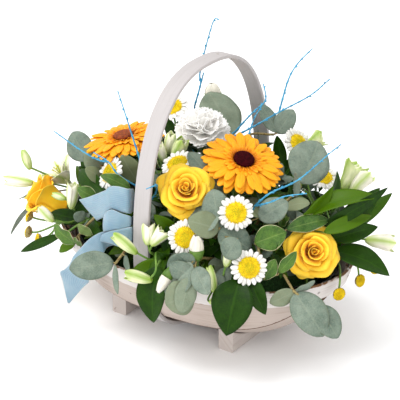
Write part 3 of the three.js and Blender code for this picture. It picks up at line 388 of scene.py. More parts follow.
for looks, pattern, usual in (
        (leaves, leafPattern, dict(glow=0.05, glowDepth=0.001, coatRoughness=0.25, gloss=0.4, bump=0.35)),
        (petals, petalPattern, dict(roughness=0.5, glow=0.25, glowDepth=0.0015, glowTint=(1.0, 1.0, 1.0),
                                    gloss=0.2, bump=0.25)),
        (skins, fleckedSkin, dict(roughness=0.6, gloss=0.3, bump=0.4)),
        (woods, paintedGrain, dict(gloss=0.25, bump=0.35, depth=0.0005))):
    for name, look in looks.items():
        finish[name] = patternMaterial(name, pattern, {**usual, **look})
print("materials made")


def named(tree, name):
    return wire(tree, "GeometryNodeInputNamedAttribute", {"Name": name}, "Attribute", data_type="FLOAT")


def drawOf(given, index, low, high, offset):
    return wire(index.tree, "FunctionNodeRandomValue", {
        2: low, 3: high, "ID": index, "Seed": given["Seed"] + offset}, 1, data_type="FLOAT")


def rotationOf(x, y, z):
    return wire(treeOf(x, y, z), "FunctionNodeEulerToRotation", {0: vectorOf(x, y, z)})


def copiesOf(piece, given, spot, turn, size):
    points = wire(piece.tree, "GeometryNodePoints", {"Count": given["Count"], "Position": spot})
    return wire(piece.tree, "GeometryNodeInstanceOnPoints", {
        "Points": points, "Instance": piece, "Rotation": turn, "Scale": size})


def marked(copies, name, value):
    return wire(copies.tree, "GeometryNodeStoreNamedAttribute", {
        "Geometry": copies, "Name": name, "Value": value}, data_type="FLOAT", domain="INSTANCE")


def realized(copies):
    return wire(copies.tree, "GeometryNodeRealizeInstances", {"Geometry": copies})


def painted(geometry, material, chosen=True):
    return wire(geometry.tree, "GeometryNodeSetMaterial", {
        "Geometry": geometry, "Selection": chosen, "Material": material})


def compared(a, b, operation):
    return wire(a.tree, "FunctionNodeCompare", {0: a, 1: b}, data_type="FLOAT", operation=operation)


def makeTubeTree():
    tree, given, out = newTree("tubeAlongPath", "GeometryNodeTree", {
        "Path": "Geometry", "Sides": 7, "Thickness": 1.0, "Finish": "Material"}, {"Geometry": "Geometry"})
    line = wire(tree, "GeometryNodeMeshToCurve", {"Mesh": given["Path"]})
    ring = wire(tree, "GeometryNodeCurvePrimitiveCircle", {"Resolution": given["Sides"], "Radius": 1.0})
    tube = wire(tree, "GeometryNodeCurveToMesh", {"Curve": line, "Profile Curve": ring, "Fill Caps": True,
                                                  "Scale": named(tree, "thick") * given["Thickness"]})
    smooth = wire(tree, "GeometryNodeSetShadeSmooth", {"Geometry": tube})
    connect(out, {"Geometry": painted(realized(smooth), given["Finish"])})
    return tree


def makeRingTree():
    tree, given, out = newTree("ringOfPetals", "GeometryNodeTree", {
        "Petal": "Geometry", "Count": 20, "Turn": 0.0, "Inner Radius": 0.01, "Width Share": 1.0,
        "Height": 0.0, "Tilt": 0.0, "Tilt Play": 0.1, "Size Play": 0.06, "Side Play": 0.05, "Seed": 1,
        "Finish": "Material",
    }, {"Geometry": "Geometry"})
    index = wire(tree, "GeometryNodeInputIndex")

    def play(offset, share):
        return drawOf(given, index, -1.0, 1.0, offset) * share

    angle = (index + given["Turn"]) / given["Count"] * fullTurn + play(11.0, given["Side Play"])
    inner = given["Inner Radius"]
    spot = vectorOf(calc("COSINE", angle) * inner, calc("SINE", angle) * inner * given["Width Share"],
                    given["Height"])
    lean = (given["Tilt"] + play(23.0, given["Tilt Play"])) * -1.0
    size = 1.0 + play(47.0, given["Size Play"])
    copies = copiesOf(given["Petal"], given, spot, rotationOf(play(31.0, given["Tilt Play"]), lean, angle),
                      vectorOf(size, size, size))
    toned = realized(marked(copies, "tone", 0.5 + play(59.0, 0.5)))
    connect(out, {"Geometry": painted(toned, given["Finish"])})
    return tree


def makeDiscTree():
    tree, given, out = newTree("discOfFlorets", "GeometryNodeTree", {
        "Floret": "Geometry", "Count": 90, "Radius": 0.01, "Rise": 0.002, "Inner Size": 0.7,
        "Outer Size": 1.0, "Lean": 0.6, "Seed": 1, "Heart": 0.35, "Heart Finish": "Material",
        "Finish": "Material",
    }, {"Geometry": "Geometry"})
    index = wire(tree, "GeometryNodeInputIndex")
    share = calc("SQRT", (index + 0.5) / given["Count"])
    angle = index * golden
    radius = share * given["Radius"]
    spot = vectorOf(calc("COSINE", angle) * radius, calc("SINE", angle) * radius,
                    (1.0 - share * share) * given["Rise"])
    size = spread(share, 0.0, 1.0, given["Inner Size"], given["Outer Size"])
    size = drawOf(given, index, 0.88, 1.12, 0.0) * size
    copies = copiesOf(given["Floret"], given, spot, rotationOf(0.0, share * given["Lean"], angle),
                      vectorOf(size, size, size))
    whole = painted(realized(marked(copies, "ring", share)), given["Finish"])
    heart = compared(named(tree, "ring"), given["Heart"], "LESS_THAN")
    connect(out, {"Geometry": painted(whole, given["Heart Finish"], heart)})
    return tree


def makeSprigTree():
    tree, given, out = newTree("sprigsFromFoam", "GeometryNodeTree", {
        "Sprig": "Geometry", "Count": 20, "Foam Length": 0.1, "Foam Width": 0.06, "Foam Top": 0.08,
        "Dome Length": 0.16, "Dome Width": 0.12, "Dome Height": 0.12, "Reach": 0.75, "Start": 0.0,
        "Edge": 0.0, "Seed": 1, "Leaf Finish": "Material", "Stem Finish": "Material",
    }, {"Geometry": "Geometry"})
    index = wire(tree, "GeometryNodeInputIndex")
    share = calc("SQRT", (index + 0.5) / given["Count"])
    share = share + (1.0 - share) * given["Edge"]
    angle = index * golden + given["Start"]
    cosine, sine = calc("COSINE", angle), calc("SINE", angle)
    lean = calc("MULTIPLY_ADD", share, 0.72, 0.24)
    rise = calc("SQRT", 1.0 - lean * lean)
    foot = vectorOf(cosine * share * given["Foam Length"], sine * share * given["Foam Width"],
                    given["Foam Top"])
    tip = vectorOf(cosine * lean * given["Dome Length"], sine * lean * given["Dome Width"],
                   rise * given["Dome Height"] + given["Foam Top"])
    heading = wire(tree, "ShaderNodeVectorMath", {0: tip, 1: foot}, operation="SUBTRACT")
    length = wire(tree, "ShaderNodeVectorMath", {0: heading}, "Value", operation="LENGTH")
    tall = length * 10.0 * (given["Reach"] * drawOf(given, index, 0.88, 1.12, 3.0))
    broad = tall * 0.4 + 0.55
    aim = wire(tree, "FunctionNodeAlignRotationToVector", {"Vector": heading}, axis="Z")
    spin = rotationOf(0.0, 0.0, drawOf(given, index, 0.0, 6.283, 7.0))
    turn = wire(tree, "FunctionNodeRotateRotation", {0: aim, 1: spin}, rotation_space="LOCAL")
    copies = copiesOf(given["Sprig"], given, foot, turn, vectorOf(broad, broad, tall))
    leafy = painted(realized(copies), given["Leaf Finish"])
    stalk = compared(named(tree, "woody"), 0.5, "GREATER_THAN")
    connect(out, {"Geometry": painted(leafy, given["Stem Finish"], stalk)})
    return tree


tubeTree, ringTree, discTree, sprigTree = makeTubeTree(), makeRingTree(), makeDiscTree(), makeSprigTree()
print("geometry trees made")


def throughTree(tree, mesh, settings):
    holder = bpy.data.objects.new("working", mesh)
    bpy.context.scene.collection.objects.link(holder)
    modifier = holder.modifiers.new("grow", "NODES")
    modifier.node_group = tree
    sockets = inputsOf(tree)
    for label, value in settings.items():
        modifier[sockets[label]] = value
    graph = bpy.context.evaluated_depsgraph_get()
    grown = bpy.data.meshes.new_from_object(holder.evaluated_get(graph), preserve_all_data_layers=True,
                                            depsgraph=graph)
    bpy.data.objects.remove(holder)
    return grown


def gridQuads(rows, columns, closed=False, ring=False):
    # Closed joins the last row to the first, and ring does so with the columns
    grid = np.arange(rows * columns).reshape(rows, columns)
    i = np.arange(rows - (not closed))[:, None]
    j = np.arange(columns - (not ring))[None]
    below, beside = (i + 1) % rows, (j + 1) % columns
    return np.stack([grid[i, j], grid[below, j], grid[below, beside], grid[i, beside]], -1).reshape(-1, 4)


def setValues(mesh, name, values):
    mesh.attributes.new(name, "FLOAT", "POINT").data.foreach_set("value", np.asarray(values, np.float32))


def setPairs(mesh, pairs, quads):
    mesh.uv_layers["UVMap"].data.foreach_set("uv", pairs[quads.ravel()].astype(np.float32).ravel())


def buildMesh(name, corners, quads, materials, pairs=None, extras={}):
    mesh = bpy.data.meshes.new(name)
    mesh.vertices.add(len(corners))
    mesh.vertices.foreach_set("co", np.asarray(corners, np.float32).ravel())
    mesh.loops.add(4 * len(quads))
    mesh.loops.foreach_set("vertex_index", quads.ravel().astype(np.int32))
    mesh.polygons.add(len(quads))
    mesh.polygons.foreach_set("loop_start", np.arange(0, 4 * len(quads), 4, dtype=np.int32))
    if pairs is not None:
        mesh.uv_layers.new(name="UVMap")
        setPairs(mesh, pairs, quads)
    for key, values in extras.items():
        setValues(mesh, key, values)
    for material in materials:
        mesh.materials.append(material)
    mesh.polygons.foreach_set("use_smooth", np.ones(len(quads), bool))
    mesh.update(calc_edges=True)
    mesh.validate()
    return mesh


class Shell:
    # Thin two-sided sheets gathered into one mesh, with a UV map and a tone for each sheet
    def __init__(self):
        self.corners, self.faces, self.pairs, self.tones, self.total = [], [], [], [], 0

    def add(self, surface, thickness=0.3, tone=0.5, closed=False):
        rows, columns = surface.shape[:2]
        count = rows * columns
        run = np.roll(surface, -1, 0) - np.roll(surface, 1, 0) if closed else np.gradient(surface, axis=0)
        push = unit(np.cross(run, np.gradient(surface, axis=1))) * thickness / 2
        quads = gridQuads(rows, columns, closed)
        sides = [quads, quads[:, ::-1] + count]
        grid = np.arange(count).reshape(rows, columns)
        around = np.arange(rows + closed) % rows
        borders = [(grid[around, 0], True), (grid[around, -1], False)]
        if not closed:
            borders += [(grid[0], False), (grid[-1], True)]
        for line, flipped in borders:
            wall = np.stack([line[:-1], line[1:], line[1:] + count, line[:-1] + count], -1)
            sides.append(wall[:, [0, 3, 2, 1]] if flipped else wall)
        u, v = np.meshgrid(np.linspace(0, 1, rows), np.linspace(0, 1, columns), indexing="ij")
        self.corners += [(surface + push).reshape(-1, 3), (surface - push).reshape(-1, 3)]
        self.pairs += [np.stack([u.ravel(), v.ravel()], -1)] * 2
        self.faces.append(np.concatenate(sides) + self.total)
        self.tones.append(np.full(2 * count, tone))
        self.total += 2 * count

    def mesh(self, name, materials, local=False):
        corners = np.concatenate(self.corners)
        return buildMesh(name, corners / 1000 if local else inFrame(corners), np.concatenate(self.faces),
                         materials, np.concatenate(self.pairs), {"tone": np.concatenate(self.tones)})


def settle(mesh, name, nodes=(), slot=None):
    mesh.name = name
    piece = bpy.data.objects.new(name, mesh)
    bpy.context.scene.collection.objects.link(piece)
    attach(piece, "root")
    if nodes:
        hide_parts(*nodes)
    return piece


def smoothPath(places, steps=6):
    points = np.asarray(places, float)
    if len(points) < 3:
        return points[0] + np.linspace(0, 1, steps + 1)[:, None] * (points[-1] - points[0])
    padded = np.vstack([2 * points[0] - points[1], points, 2 * points[-1] - points[-2]])
    t = np.linspace(0, 1, steps, endpoint=False)[:, None]
    spans = []
    for i in range(len(points) - 1):
        a, b, c, d = padded[i:i + 4]
        spans.append(0.5 * (2 * b + (c - a) * t + (2 * a - 5 * b + 4 * c - d) * t ** 2
                            + (3 * b - a - 3 * c + d) * t ** 3))
    return np.vstack(spans + [points[-1:]])


def walked(path):
    # How far each point lies along the path
    return np.concatenate([[0], np.cumsum(np.linalg.norm(np.diff(path, axis=0), axis=1))])


def resampled(path, stops):
    walk = walked(path)
    return np.stack([np.interp(stops, walk, path[:, k]) for k in range(3)], -1)


def tubes(name, runs, material, sides=7, local=False):
    edges, thick, total = [], [], 0
    for path, radius in runs:
        thick.append(np.broadcast_to(np.asarray(radius, float) / 1000, len(path)))
        edges += [(total + i, total + i + 1) for i in range(len(path) - 1)]
        total += len(path)
    places = np.vstack([path for path, radius in runs])
    mesh = bpy.data.meshes.new(name)
    mesh.from_pydata([tuple(p) for p in (places / 1000 if local else inFrame(places))], edges, [])
    setValues(mesh, "thick", np.concatenate(thick))
    return throughTree(tubeTree, mesh, {"Sides": sides, "Thickness": 1.0, "Finish": material})


def joinMeshes(name, meshes):
    for one in bpy.context.selected_objects:
        one.select_set(False)
    objects = [bpy.data.objects.new(name, mesh) for mesh in meshes]
    for one in objects:
        bpy.context.scene.collection.objects.link(one)
        one.select_set(True)
    bpy.context.view_layer.objects.active = objects[0]
    if len(objects) > 1:
        bpy.ops.object.join()
    mesh = objects[0].data
    bpy.data.objects.remove(objects[0])
    return mesh


def flowerPose(at, face, twist=0.0):
    axis = unit(face)
    side = np.cross([0, 0, 1], axis)
    side = turned(unit(side) if np.linalg.norm(side) > 0.05 else np.array([1.0, 0, 0]), twist, axis)
    return np.column_stack([side, np.cross(axis, side), axis]), np.asarray(at, float)


def poseMesh(mesh, pose):
    turn, at = pose
    mesh.transform(Matrix.Translation(inFrame(at)) @ Matrix(turn.tolist()).to_4x4())
    return mesh


def assemble(name, pose, head, nodes, slot, others=()):
    # Joins the meshes of a piece, its head turned to the pose of the flower
    meshes = [poseMesh(mesh, pose) for mesh in head] + list(others)
    settle(joinMeshes(name, meshes), name, nodes, slot)


def inCad(node):
    return [node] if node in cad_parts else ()


def holeOf(node):
    # Where the CAD stem stands in the foam
    corners = fromFrame([v.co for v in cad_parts[node].data.vertices])
    near = abs(corners - [0, 0, foam["top"] - foam["hole"]]) < [foam["halfLength"], foam["halfWidth"], 1.5]
    return corners[near.all(1)].mean(0)


def plantedPath(node, places):
    sceneOnly = np.array([places[0][0] * 0.8, places[0][1] * 0.6, 72.0])
    hole = holeOf(node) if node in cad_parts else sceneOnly
    mouth = hole + 0.4 * (np.asarray(places[0], float) - hole)
    mouth[2] = max(mouth[2], foam["top"] + 2)
    return np.vstack([hole, mouth, places])


def nearestOn(runs, place):
    every = np.vstack([path for path, radius in runs])
    return every[np.argmin(np.linalg.norm(every - np.asarray(place, float), axis=1))]


trug = {"rimHalfLength": 157, "rimHalfWidth": 108.4, "rimFoot": 70, "rimHeight": 20, "rimFlare": 6.5,
        "rimThickness": 3, "rimCorner": 0.7, "handleWidth": 18, "handleThickness": 3.8, "handleCorner": 0.9,
        "handleHalfSpan": 107.5, "handleWaist": 104, "handleRise": 170.5, "handleDrop": 101,
        "handleCrown": 0.81, "handleBelly": 0.76, "hullHalfLength": 150, "hullHalfWidth": 95.6,
        "hullTop": 87, "hullBottom": 10.5, "hullSheer": 5, "hullPlan": 2.02, "hullSection": 0.9,
        "hullRocker": 4.5, "hullFlare": 5.4, "boardThickness": 2.2, "boardLap": 2.9, "boardReach": 0.975,
        "battenWidth": 17, "battenHalfLength": 58, "battenDrop": 4.4, "battenCorner": 0.9}
foam = {"top": 89, "hole": 20, "halfLength": 102, "halfWidth": 62}


def pointOut(mesh):
    work = bmesh.new()
    work.from_mesh(mesh)
    bmesh.ops.recalc_face_normals(work, faces=work.faces)
    work.to_mesh(mesh)
    work.free()
    return mesh


def sweptStrip(name, centre, outward, acrossWay, width, thickness, corner, look):
    # A flat strip with rounded corners swept round a closed path; all arrays have one row for each station
    half, deep = width / 2, thickness / 2
    profile = []
    for sx, sy, start in ((1, 1, 0), (-1, 1, 90), (-1, -1, 180), (1, -1, 270)):
        for k in range(4):
            angle = math.radians(start + 30 * k)
            profile.append((sx * (half - corner) + corner * math.cos(angle),
                            sy * (deep - corner) + corner * math.sin(angle)))
    across = np.linspace(half - corner, corner - half, 9)[1:-1]
    upper = [(x, deep) for x in across]
    under = [(-x, -deep) for x in across]
    profile = np.array(profile[:4] + upper + profile[4:12] + under + profile[12:])
    rows, columns = len(centre), len(profile)
    surface = (centre[:, None] + acrossWay[:, None] * profile[None, :, 0, None]
               + outward[:, None] * profile[None, :, 1, None])
    length = walked(centre) / 1000
    side = profile[:, 0] / 1000 + (profile[:, 1] < 0) * 0.05
    edge = np.clip(1 - (half - abs(profile[:, 0])) / 2.4, 0, 1)
    quads = gridQuads(rows, columns, True, True)[:, [0, 3, 2, 1]]
    pairs = np.stack([np.repeat(length, columns), np.tile(side, rows)], -1)
    return pointOut(buildMesh(name, inFrame(surface.reshape(-1, 3)), quads, [look], pairs,
                              {"edge": np.tile(edge, rows)}))


def handleLine(angle):
    c, s = np.cos(angle), np.sin(angle)
    power = np.where(s > 0, trug["handleCrown"], trug["handleBelly"])
    reach = np.where(s > 0, trug["handleRise"], trug["handleDrop"]) - trug["handleThickness"] / 2
    y = -(trug["handleHalfSpan"] - trug["handleThickness"] / 2) * np.sign(c) * abs(c) ** power
    return stacked(0.0, y, trug["handleWaist"] + reach * np.sign(s) * abs(s) ** power)


def runOf(centre):
    # The way on from each point of a closed path
    return np.roll(centre, -1, 0) - np.roll(centre, 1, 0)


def makeHandle():
    fine = handleLine(np.linspace(0, fullTurn, 4001)[:-1] + 0.0003)
    centre = resampled(fine, np.linspace(0, walked(fine)[-1], 200, endpoint=False))
    outward = unit(np.cross(runOf(centre), [1.0, 0, 0]))
    outward *= np.sign((outward * (centre - [0, 0, trug["handleWaist"]])).sum(1))[:, None]
    across = np.repeat([[1.0, 0, 0]], len(centre), 0)
    mesh = sweptStrip("hoop", centre, outward, across, trug["handleWidth"], trug["handleThickness"],
                      trug["handleCorner"], finish["hoopWood"])
    settle(mesh, "bentwoodHoop", ["handle"], "whitewashed_wood")


def makeRim():
    angle = np.linspace(0, fullTurn, 241)[:-1]
    middle = trug["rimFlare"] / 2 - trug["rimThickness"] / 2
    centre = stacked((trug["rimHalfLength"] + middle) * np.cos(angle),
                     (trug["rimHalfWidth"] + middle) * np.sin(angle), trug["rimFoot"] + trug["rimHeight"] / 2)
    radial = stacked(np.cos(angle), np.sin(angle), 0.0)
    slope = unit(np.array([0, 0, trug["rimHeight"]]) + radial * trug["rimFlare"])
    outward = unit(np.cross(slope, runOf(centre)))
    outward *= np.sign((outward * radial).sum(1))[:, None]
    mesh = sweptStrip("band", centre, outward, slope, trug["rimHeight"], trug["rimThickness"],
                      trug["rimCorner"], finish["rimWood"])
    settle(mesh, "rimBand", ["rim"], "whitewashed_wood")


def hull(s, t, off):
    # The boards' surface: s runs along the trug and t across it, both from -1 to 1
    plan, section = trug["hullPlan"], trug["hullSection"]
    top, bottom = trug["hullTop"], trug["hullBottom"]
    half = (trug["hullHalfWidth"] + off) * (1 - np.minimum(1, abs(s)) ** plan) ** (1 / plan)
    keel = bottom - off + (top - trug["hullSheer"] - bottom) * abs(s) ** trug["hullRocker"]
    angle = t * math.pi / 2
    flare = trug["hullFlare"] * np.maximum(0, (abs(t) - 0.77) / 0.215) * np.minimum(1, abs(s) / 0.15)
    bulge = abs(np.sin(angle)) ** section + flare / trug["hullHalfWidth"]
    return stacked((trug["hullHalfLength"] + off) * s, half * np.sign(t) * bulge,
                   top - (top - keel) * abs(np.cos(angle)) ** section)


# Where each board lies across the hull, and how many boards lie under it
boards = {"boardKeel": (-0.19, 0.19, 0), "boardFrontInner": (-0.6, -0.15, 1),
          "boardBackInner": (0.15, 0.6, 1), "boardFrontOuter": (-0.985, -0.56, 2),
          "boardBackOuter": (0.56, 0.985, 2)}


def makeBoard(node, low, high, layer, rows=97, columns=25):
    steps = np.concatenate([[0, 0.012, 0.04], np.linspace(0.08, 0.92, columns - 6), [0.96, 0.988, 1]])
    s, t = np.meshgrid((np.linspace(0, 1, rows) * 2 - 1) * trug["boardReach"], low + (high - low) * steps,
                       indexing="ij")
    middle = hull(s, t, layer * trug["boardLap"])
    shell = Shell()
    shell.add(middle, trug["boardThickness"])
    mesh = shell.mesh(node + "Plank", [finish["boardsWood"]])
    width = np.linalg.norm(np.diff(middle, axis=1), axis=2)
    across = np.concatenate([np.zeros((rows, 1)), np.cumsum(width, axis=1)], 1) / 1000
    along = np.repeat(middle[:, columns // 2, 0] / 1000, columns) + layer * 0.37
    pairs = np.stack([along, across.ravel() + layer * 0.2], -1)
    setPairs(mesh, np.vstack([pairs, pairs]), shell.faces[0])
    reach = np.minimum(across, across[:, -1:] - across) * 1000
    setValues(mesh, "edge", np.tile(np.clip(1 - reach / 2.2, 0, 1).ravel(), 2))
    mesh.set_sharp_from_angle(angle=math.radians(40))
    settle(mesh, node + "Plank", [node], "whitewashed_wood")


def makeBatten(node):
    # A block across the trug, its top cut to the curve of the keel board
    low, high = (fromFrame(corner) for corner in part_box(node))
    middle = (low[0] + high[0]) / 2
    y = np.linspace(-trug["battenHalfLength"], trug["battenHalfLength"], 41)
    s = middle / trug["hullHalfLength"]
    half = hull(s, 1.0, 0)[1] - trug["hullFlare"]
    cosine = np.sqrt(np.maximum(0, 1 - (abs(y) / half) ** (2 / trug["hullSection"])))
    top = (trug["hullTop"] - (trug["hullTop"] - hull(s, 0.0, 0)[2]) * cosine ** trug["hullSection"]
           - trug["battenDrop"])
    corner = trug["battenCorner"]
    left, right = middle - trug["battenWidth"] / 2, middle + trug["battenWidth"] / 2
    outline = [(left + corner, 0), (right - corner, 0), (right, corner), (right, top / 2),
               (right, top - corner), (right - corner, top), (left + corner, top), (left, top - corner),
               (left, top / 2), (left, corner)]
    block = np.stack([stacked(x, y, z) for x, z in outline], 1)
    ends = [np.repeat(ring.mean(0)[None, None], len(outline), 1) for ring in (block[0], block[-1])]
    surface = np.concatenate([ends[0], block, ends[1]])
    rows, columns = surface.shape[:2]
    pairs = np.stack([surface[..., 1].ravel(), (surface[..., 0] + surface[..., 2]).ravel()], -1) / 1000
    edge = np.tile(np.array([0.5, 0.5, 1, 0, 1, 1, 1, 1, 0, 1]) * 0.8, (rows, 1))
    edge[[1, -2]] = 1.0
    quads = gridQuads(rows, columns, ring=True)[:, [0, 3, 2, 1]]
    mesh = pointOut(buildMesh(node, inFrame(surface.reshape(-1, 3)), quads, [finish["battensWood"]], pairs,
                              {"edge": edge.ravel()}))
    mesh.set_sharp_from_angle(angle=math.radians(35))
    settle(mesh, node + "Block", [node], "whitewashed_wood")


makeHandle()
makeRim()
for node, (low, high, layer) in boards.items():
    makeBoard(node, low, high, layer)
for node in ("battenLeft", "battenRight"):
    makeBatten(node)
for node, look in {"foam": "wetFoam", "liner": "linerFilm", "ribbonPick": "pickWire"}.items():
    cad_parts[node].data.materials.clear()
    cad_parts[node].data.materials.append(finish[look])
print("trug made")

bands = {
    "upperLoop": {
        "upper": [[-18, -92, 164], [-15, -101, 171], [-14, -108, 174], [-23, -111, 175], [-32, -112, 173],
            [-37, -112, 168], [-48, -111, 161], [-61, -109, 153], [-74, -107, 146]],
        "lower": [[-19, -92, 142], [-15, -101, 145], [-14, -108, 148], [-21, -111, 149], [-29, -112, 150],
            [-32, -112, 148], [-38, -111, 140], [-46, -109, 134], [-53, -107, 129]]},
    "middleLoop": {
        "upper": [[-19, -92, 137], [-15, -102, 142], [-12, -108, 146], [-19, -113, 149], [-27, -115, 151],
            [-33, -115, 148], [-39, -112.5, 142], [-42, -108, 136], [-40, -103, 135], [-26, -98, 135]],
        "lower": [[-19, -92, 127], [-15, -102, 133], [-11, -108, 135], [-17, -113, 133], [-27, -115, 129],
            [-34, -115, 126], [-40, -112.5, 123], [-43, -108, 122], [-40, -103, 123], [-27, -98, 127]]},
    "lowerLoop": {
        "upper": [[-19, -92, 124], [-10, -108, 135], [-19, -114, 132], [-28, -118, 129], [-35, -119, 125],
            [-39, -116, 121], [-35, -110, 119], [-27, -101, 117]],
        "lower": [[-20, -92, 102], [-11, -108, 111], [-20, -114, 113], [-28, -118, 116], [-38, -119, 116],
            [-40, -116, 115], [-35, -110, 113], [-27, -101, 112]]},
    "tail": {
        "upper": [[-23, -100, 126], [-31, -108, 125], [-39, -113, 124], [-45, -118, 121], [-54, -120, 113],
            [-63, -121.5, 102], [-72, -121.5, 91], [-78, -120.5, 80], [-85, -119.5, 72], [-92, -118.5, 66],
            [-90, -117.5, 57], [-89, -115.5, 44], [-88, -113.5, 31]],
        "lower": [[-23, -100, 108], [-32, -108, 109], [-36, -113, 107], [-36, -118, 104], [-39, -120, 99],
            [-42, -121.5, 93], [-46, -121.5, 84], [-50, -120.5, 76], [-54, -119.5, 70], [-56, -118.5, 65],
            [-63, -117.5, 58], [-74, -115.5, 45], [-86, -113.5, 30]]},
}
ribbon = {"knot": [-7, -97, 128], "knotLow": -15, "knotHigh": 17, "knotRadius": 3.5}


def bandSurface(upper, lower):
    # Both edges start inside the knot; the band ripples more as it leaves it
    middle = (np.array(upper[0]) + lower[0]) / 2 * 0.4 + np.array(ribbon["knot"]) * 0.6
    top = smoothPath([middle + [0, 0, 5]] + upper, 8)
    low = smoothPath([middle - [0, 0, 5]] + lower, 8)
    u, v = np.linspace(0, 1, len(top))[:, None], np.linspace(0, 1, 13)
    surface = top[:, None] + (low - top)[:, None] * v[None, :, None]
    normal = unit(np.cross(np.gradient(surface, axis=0), np.gradient(surface, axis=1)))
    ripple = (np.sin(u * 9 + v * 2.4) * 0.35 + np.sin(v * math.pi) * 0.5) * np.minimum(1, u * 4)
    return surface + normal * ripple[..., None]


def makeRibbon():
    shell = Shell()
    for band in bands.values():
        surface = bandSurface(band["upper"], band["lower"])
        shell.add(surface, 0.35)
        cells = np.cross(surface[1:, :-1] - surface[:-1, :-1], surface[:-1, 1:] - surface[:-1, :-1])
    angle = np.linspace(0, fullTurn, 25)[:-1, None]
    z = np.linspace(ribbon["knotLow"], ribbon["knotHigh"], 15)[None]
    pinch = 3.0 + 1.1 * abs(z / 16) ** 1.5
    shell.add(ribbon["knot"] + stacked(pinch * np.cos(angle), pinch * np.sin(angle) * 0.9,
                                       z + 0.8 * np.sin(3 * angle)), 0.5, 0.4, closed=True)
    bow = settle(shell.mesh("satinBow", [finish["satinRibbon"]]), "satinBow", ["ribbonBow"], "satin_ribbon")


makeRibbon()
print("ribbon made")

gerberas = {
    "gerberaFront": {"at": [61, -23, 190], "face": [0.36, -0.2, 0.91]},
    "gerberaBack": {"at": [-84, -21, 178], "face": [-0.14, -0.12, 0.98]},
}
roses = {
    "roseFront": {"at": [30, -74, 171], "face": [0.42, -0.64, 0.64], "twist": 20},
    "roseRight": {"at": [143, -27, 119], "face": [0.62, -0.62, 0.48], "twist": 100},
    "roseLeft": {
        "at": [-152, -60, 106], "face": [-0.8, -0.35, 0.5], "twist": 60, "bloom": 0.6, "depth": 1.3,
        "radius": 31},
}
carnation = {"at": [-19, 23, 193], "face": [0.15, -0.25, 0.95], "radius": 27}
santinis = {
    "santiniFrontRight": {
        "fork": [84, -60, 122],
        "daisies": [{"at": [86, -72, 162], "face": [0.45, -0.66, 0.6]},
            {"at": [113, -90, 120], "face": [0.56, -0.72, 0.42]}]},
    "santiniFrontLeft": {
        "fork": [36, -74, 116], "daisies": [{"at": [49, -102, 138], "face": [0.4, -0.8, 0.45]}]},
    "santiniMiddle": {
        "fork": [-22, -6, 150],
        "daisies": [{"at": [-3, -42, 179], "face": [-0.1, -0.4, 0.9]},
            {"at": [-62, 31, 200], "face": [0.1, -0.45, 0.85]}]},
    "santiniLeft": {
        "fork": [-60, -46, 130], "daisies": [{"at": [-69, -64, 160], "face": [-0.35, -0.75, 0.56]}]},
    "santiniRight": {
        "fork": [72, 50, 140],
        "daisies": [{"at": [69, 64, 180], "face": [0.75, -0.1, 0.66]},
            {"at": [100, 60, 154], "face": [0.4, -0.15, 0.9]}]},
    "buttonsRight": {
        "fork": [138, 16, 96],
        "buttons": [{"at": [172, 45, 80], "face": [0.9, -0.35, 0.3], "bends": [[156, 38, 99], [166, 44, 92]]},
            {"at": [170, 20, 76], "face": [0.95, -0.2, 0.2], "bends": [[158, 20, 97], [166.5, 20, 90]]},
            {"at": [170, -20, 79], "face": [0.8, -0.55, 0.1], "bends": [[156, 2, 98], [167, -14, 92]]}]},
    "buttonsLeft": {
        "fork": [-128, -72, 92],
        "buttons": [{"at": [-167, -76, 90], "face": [-0.8, -0.5, 0.4]},
            {"at": [-163, -83, 76], "face": [-0.95, -0.3, 0.1]},
            {"at": [-147, -86, 73], "face": [-0.6, -0.8, 0.1]}]},
}
dome = {"centre": np.array([5.0, -5, 75]), "size": np.array([165.0, 120, 125])}
leafForms = {
    "eucalyptus": {"rows": 17, "columns": 9, "arch": 0.05, "fold": 0.0, "wave": 0.05, "thickness": 0.45,
        "outline": lambda u: np.sin(np.pi * np.clip(u, 0.004, 0.996) ** 0.92) ** 0.56},
    "ruscus": {"rows": 21, "columns": 9, "arch": 0.08, "fold": 0.25, "wave": 0.02, "thickness": 0.4,
        "outline": lambda u: 2.45 * (u + 0.006) ** 0.65 * np.maximum(1.003 - u, 0.001) ** 0.85},
    "pittosporum": {"rows": 15, "columns": 9, "arch": 0.06, "fold": 0.1, "wave": 0.16, "thickness": 0.4,
        "outline": lambda u: np.sin(np.pi * np.clip(u, 0.004, 0.996) ** 0.95) ** 0.72},
}


def outward(place):
    return unit((np.asarray(place, float) - dome["centre"]) / dome["size"] ** 2)


def leafSurface(kind, foot, tip, width, roll, random, face=None):
    form = leafForms[kind]
    foot, tip = np.asarray(foot, float), np.asarray(tip, float)
    length = np.linalg.norm(tip - foot)
    rib = (tip - foot) / length
    face = outward((foot + tip) / 2) if face is None else np.asarray(face, float)
    face = turned(unit(face - rib * face.dot(rib)), roll, rib)
    side = np.cross(rib, face)
    u, v = lanes(form["rows"], form["columns"])
    draw = random.uniform(-1, 1, 5)
    half = form["outline"](u) * width / 2
    skew = 1 + 0.06 * draw[0] * v * np.sin(np.pi * u)
    wave = np.cos(u * 9 + draw[1]) * 0.5 + v ** 2 * np.sin(u * 13 + draw[2] * 3 + v)
    lift = (form["arch"] * length * 4 * u * (1 - u) + form["fold"] * half * abs(v) ** 1.3
            + form["wave"] * half * wave - 0.1 * length * (0.5 + 0.5 * draw[3]) * u ** 3)
    bend = 0.04 * length * draw[4] * u ** 2
    return foot + stacked(u * length, v * half * skew + bend, lift) @ np.array([rib, side, face])


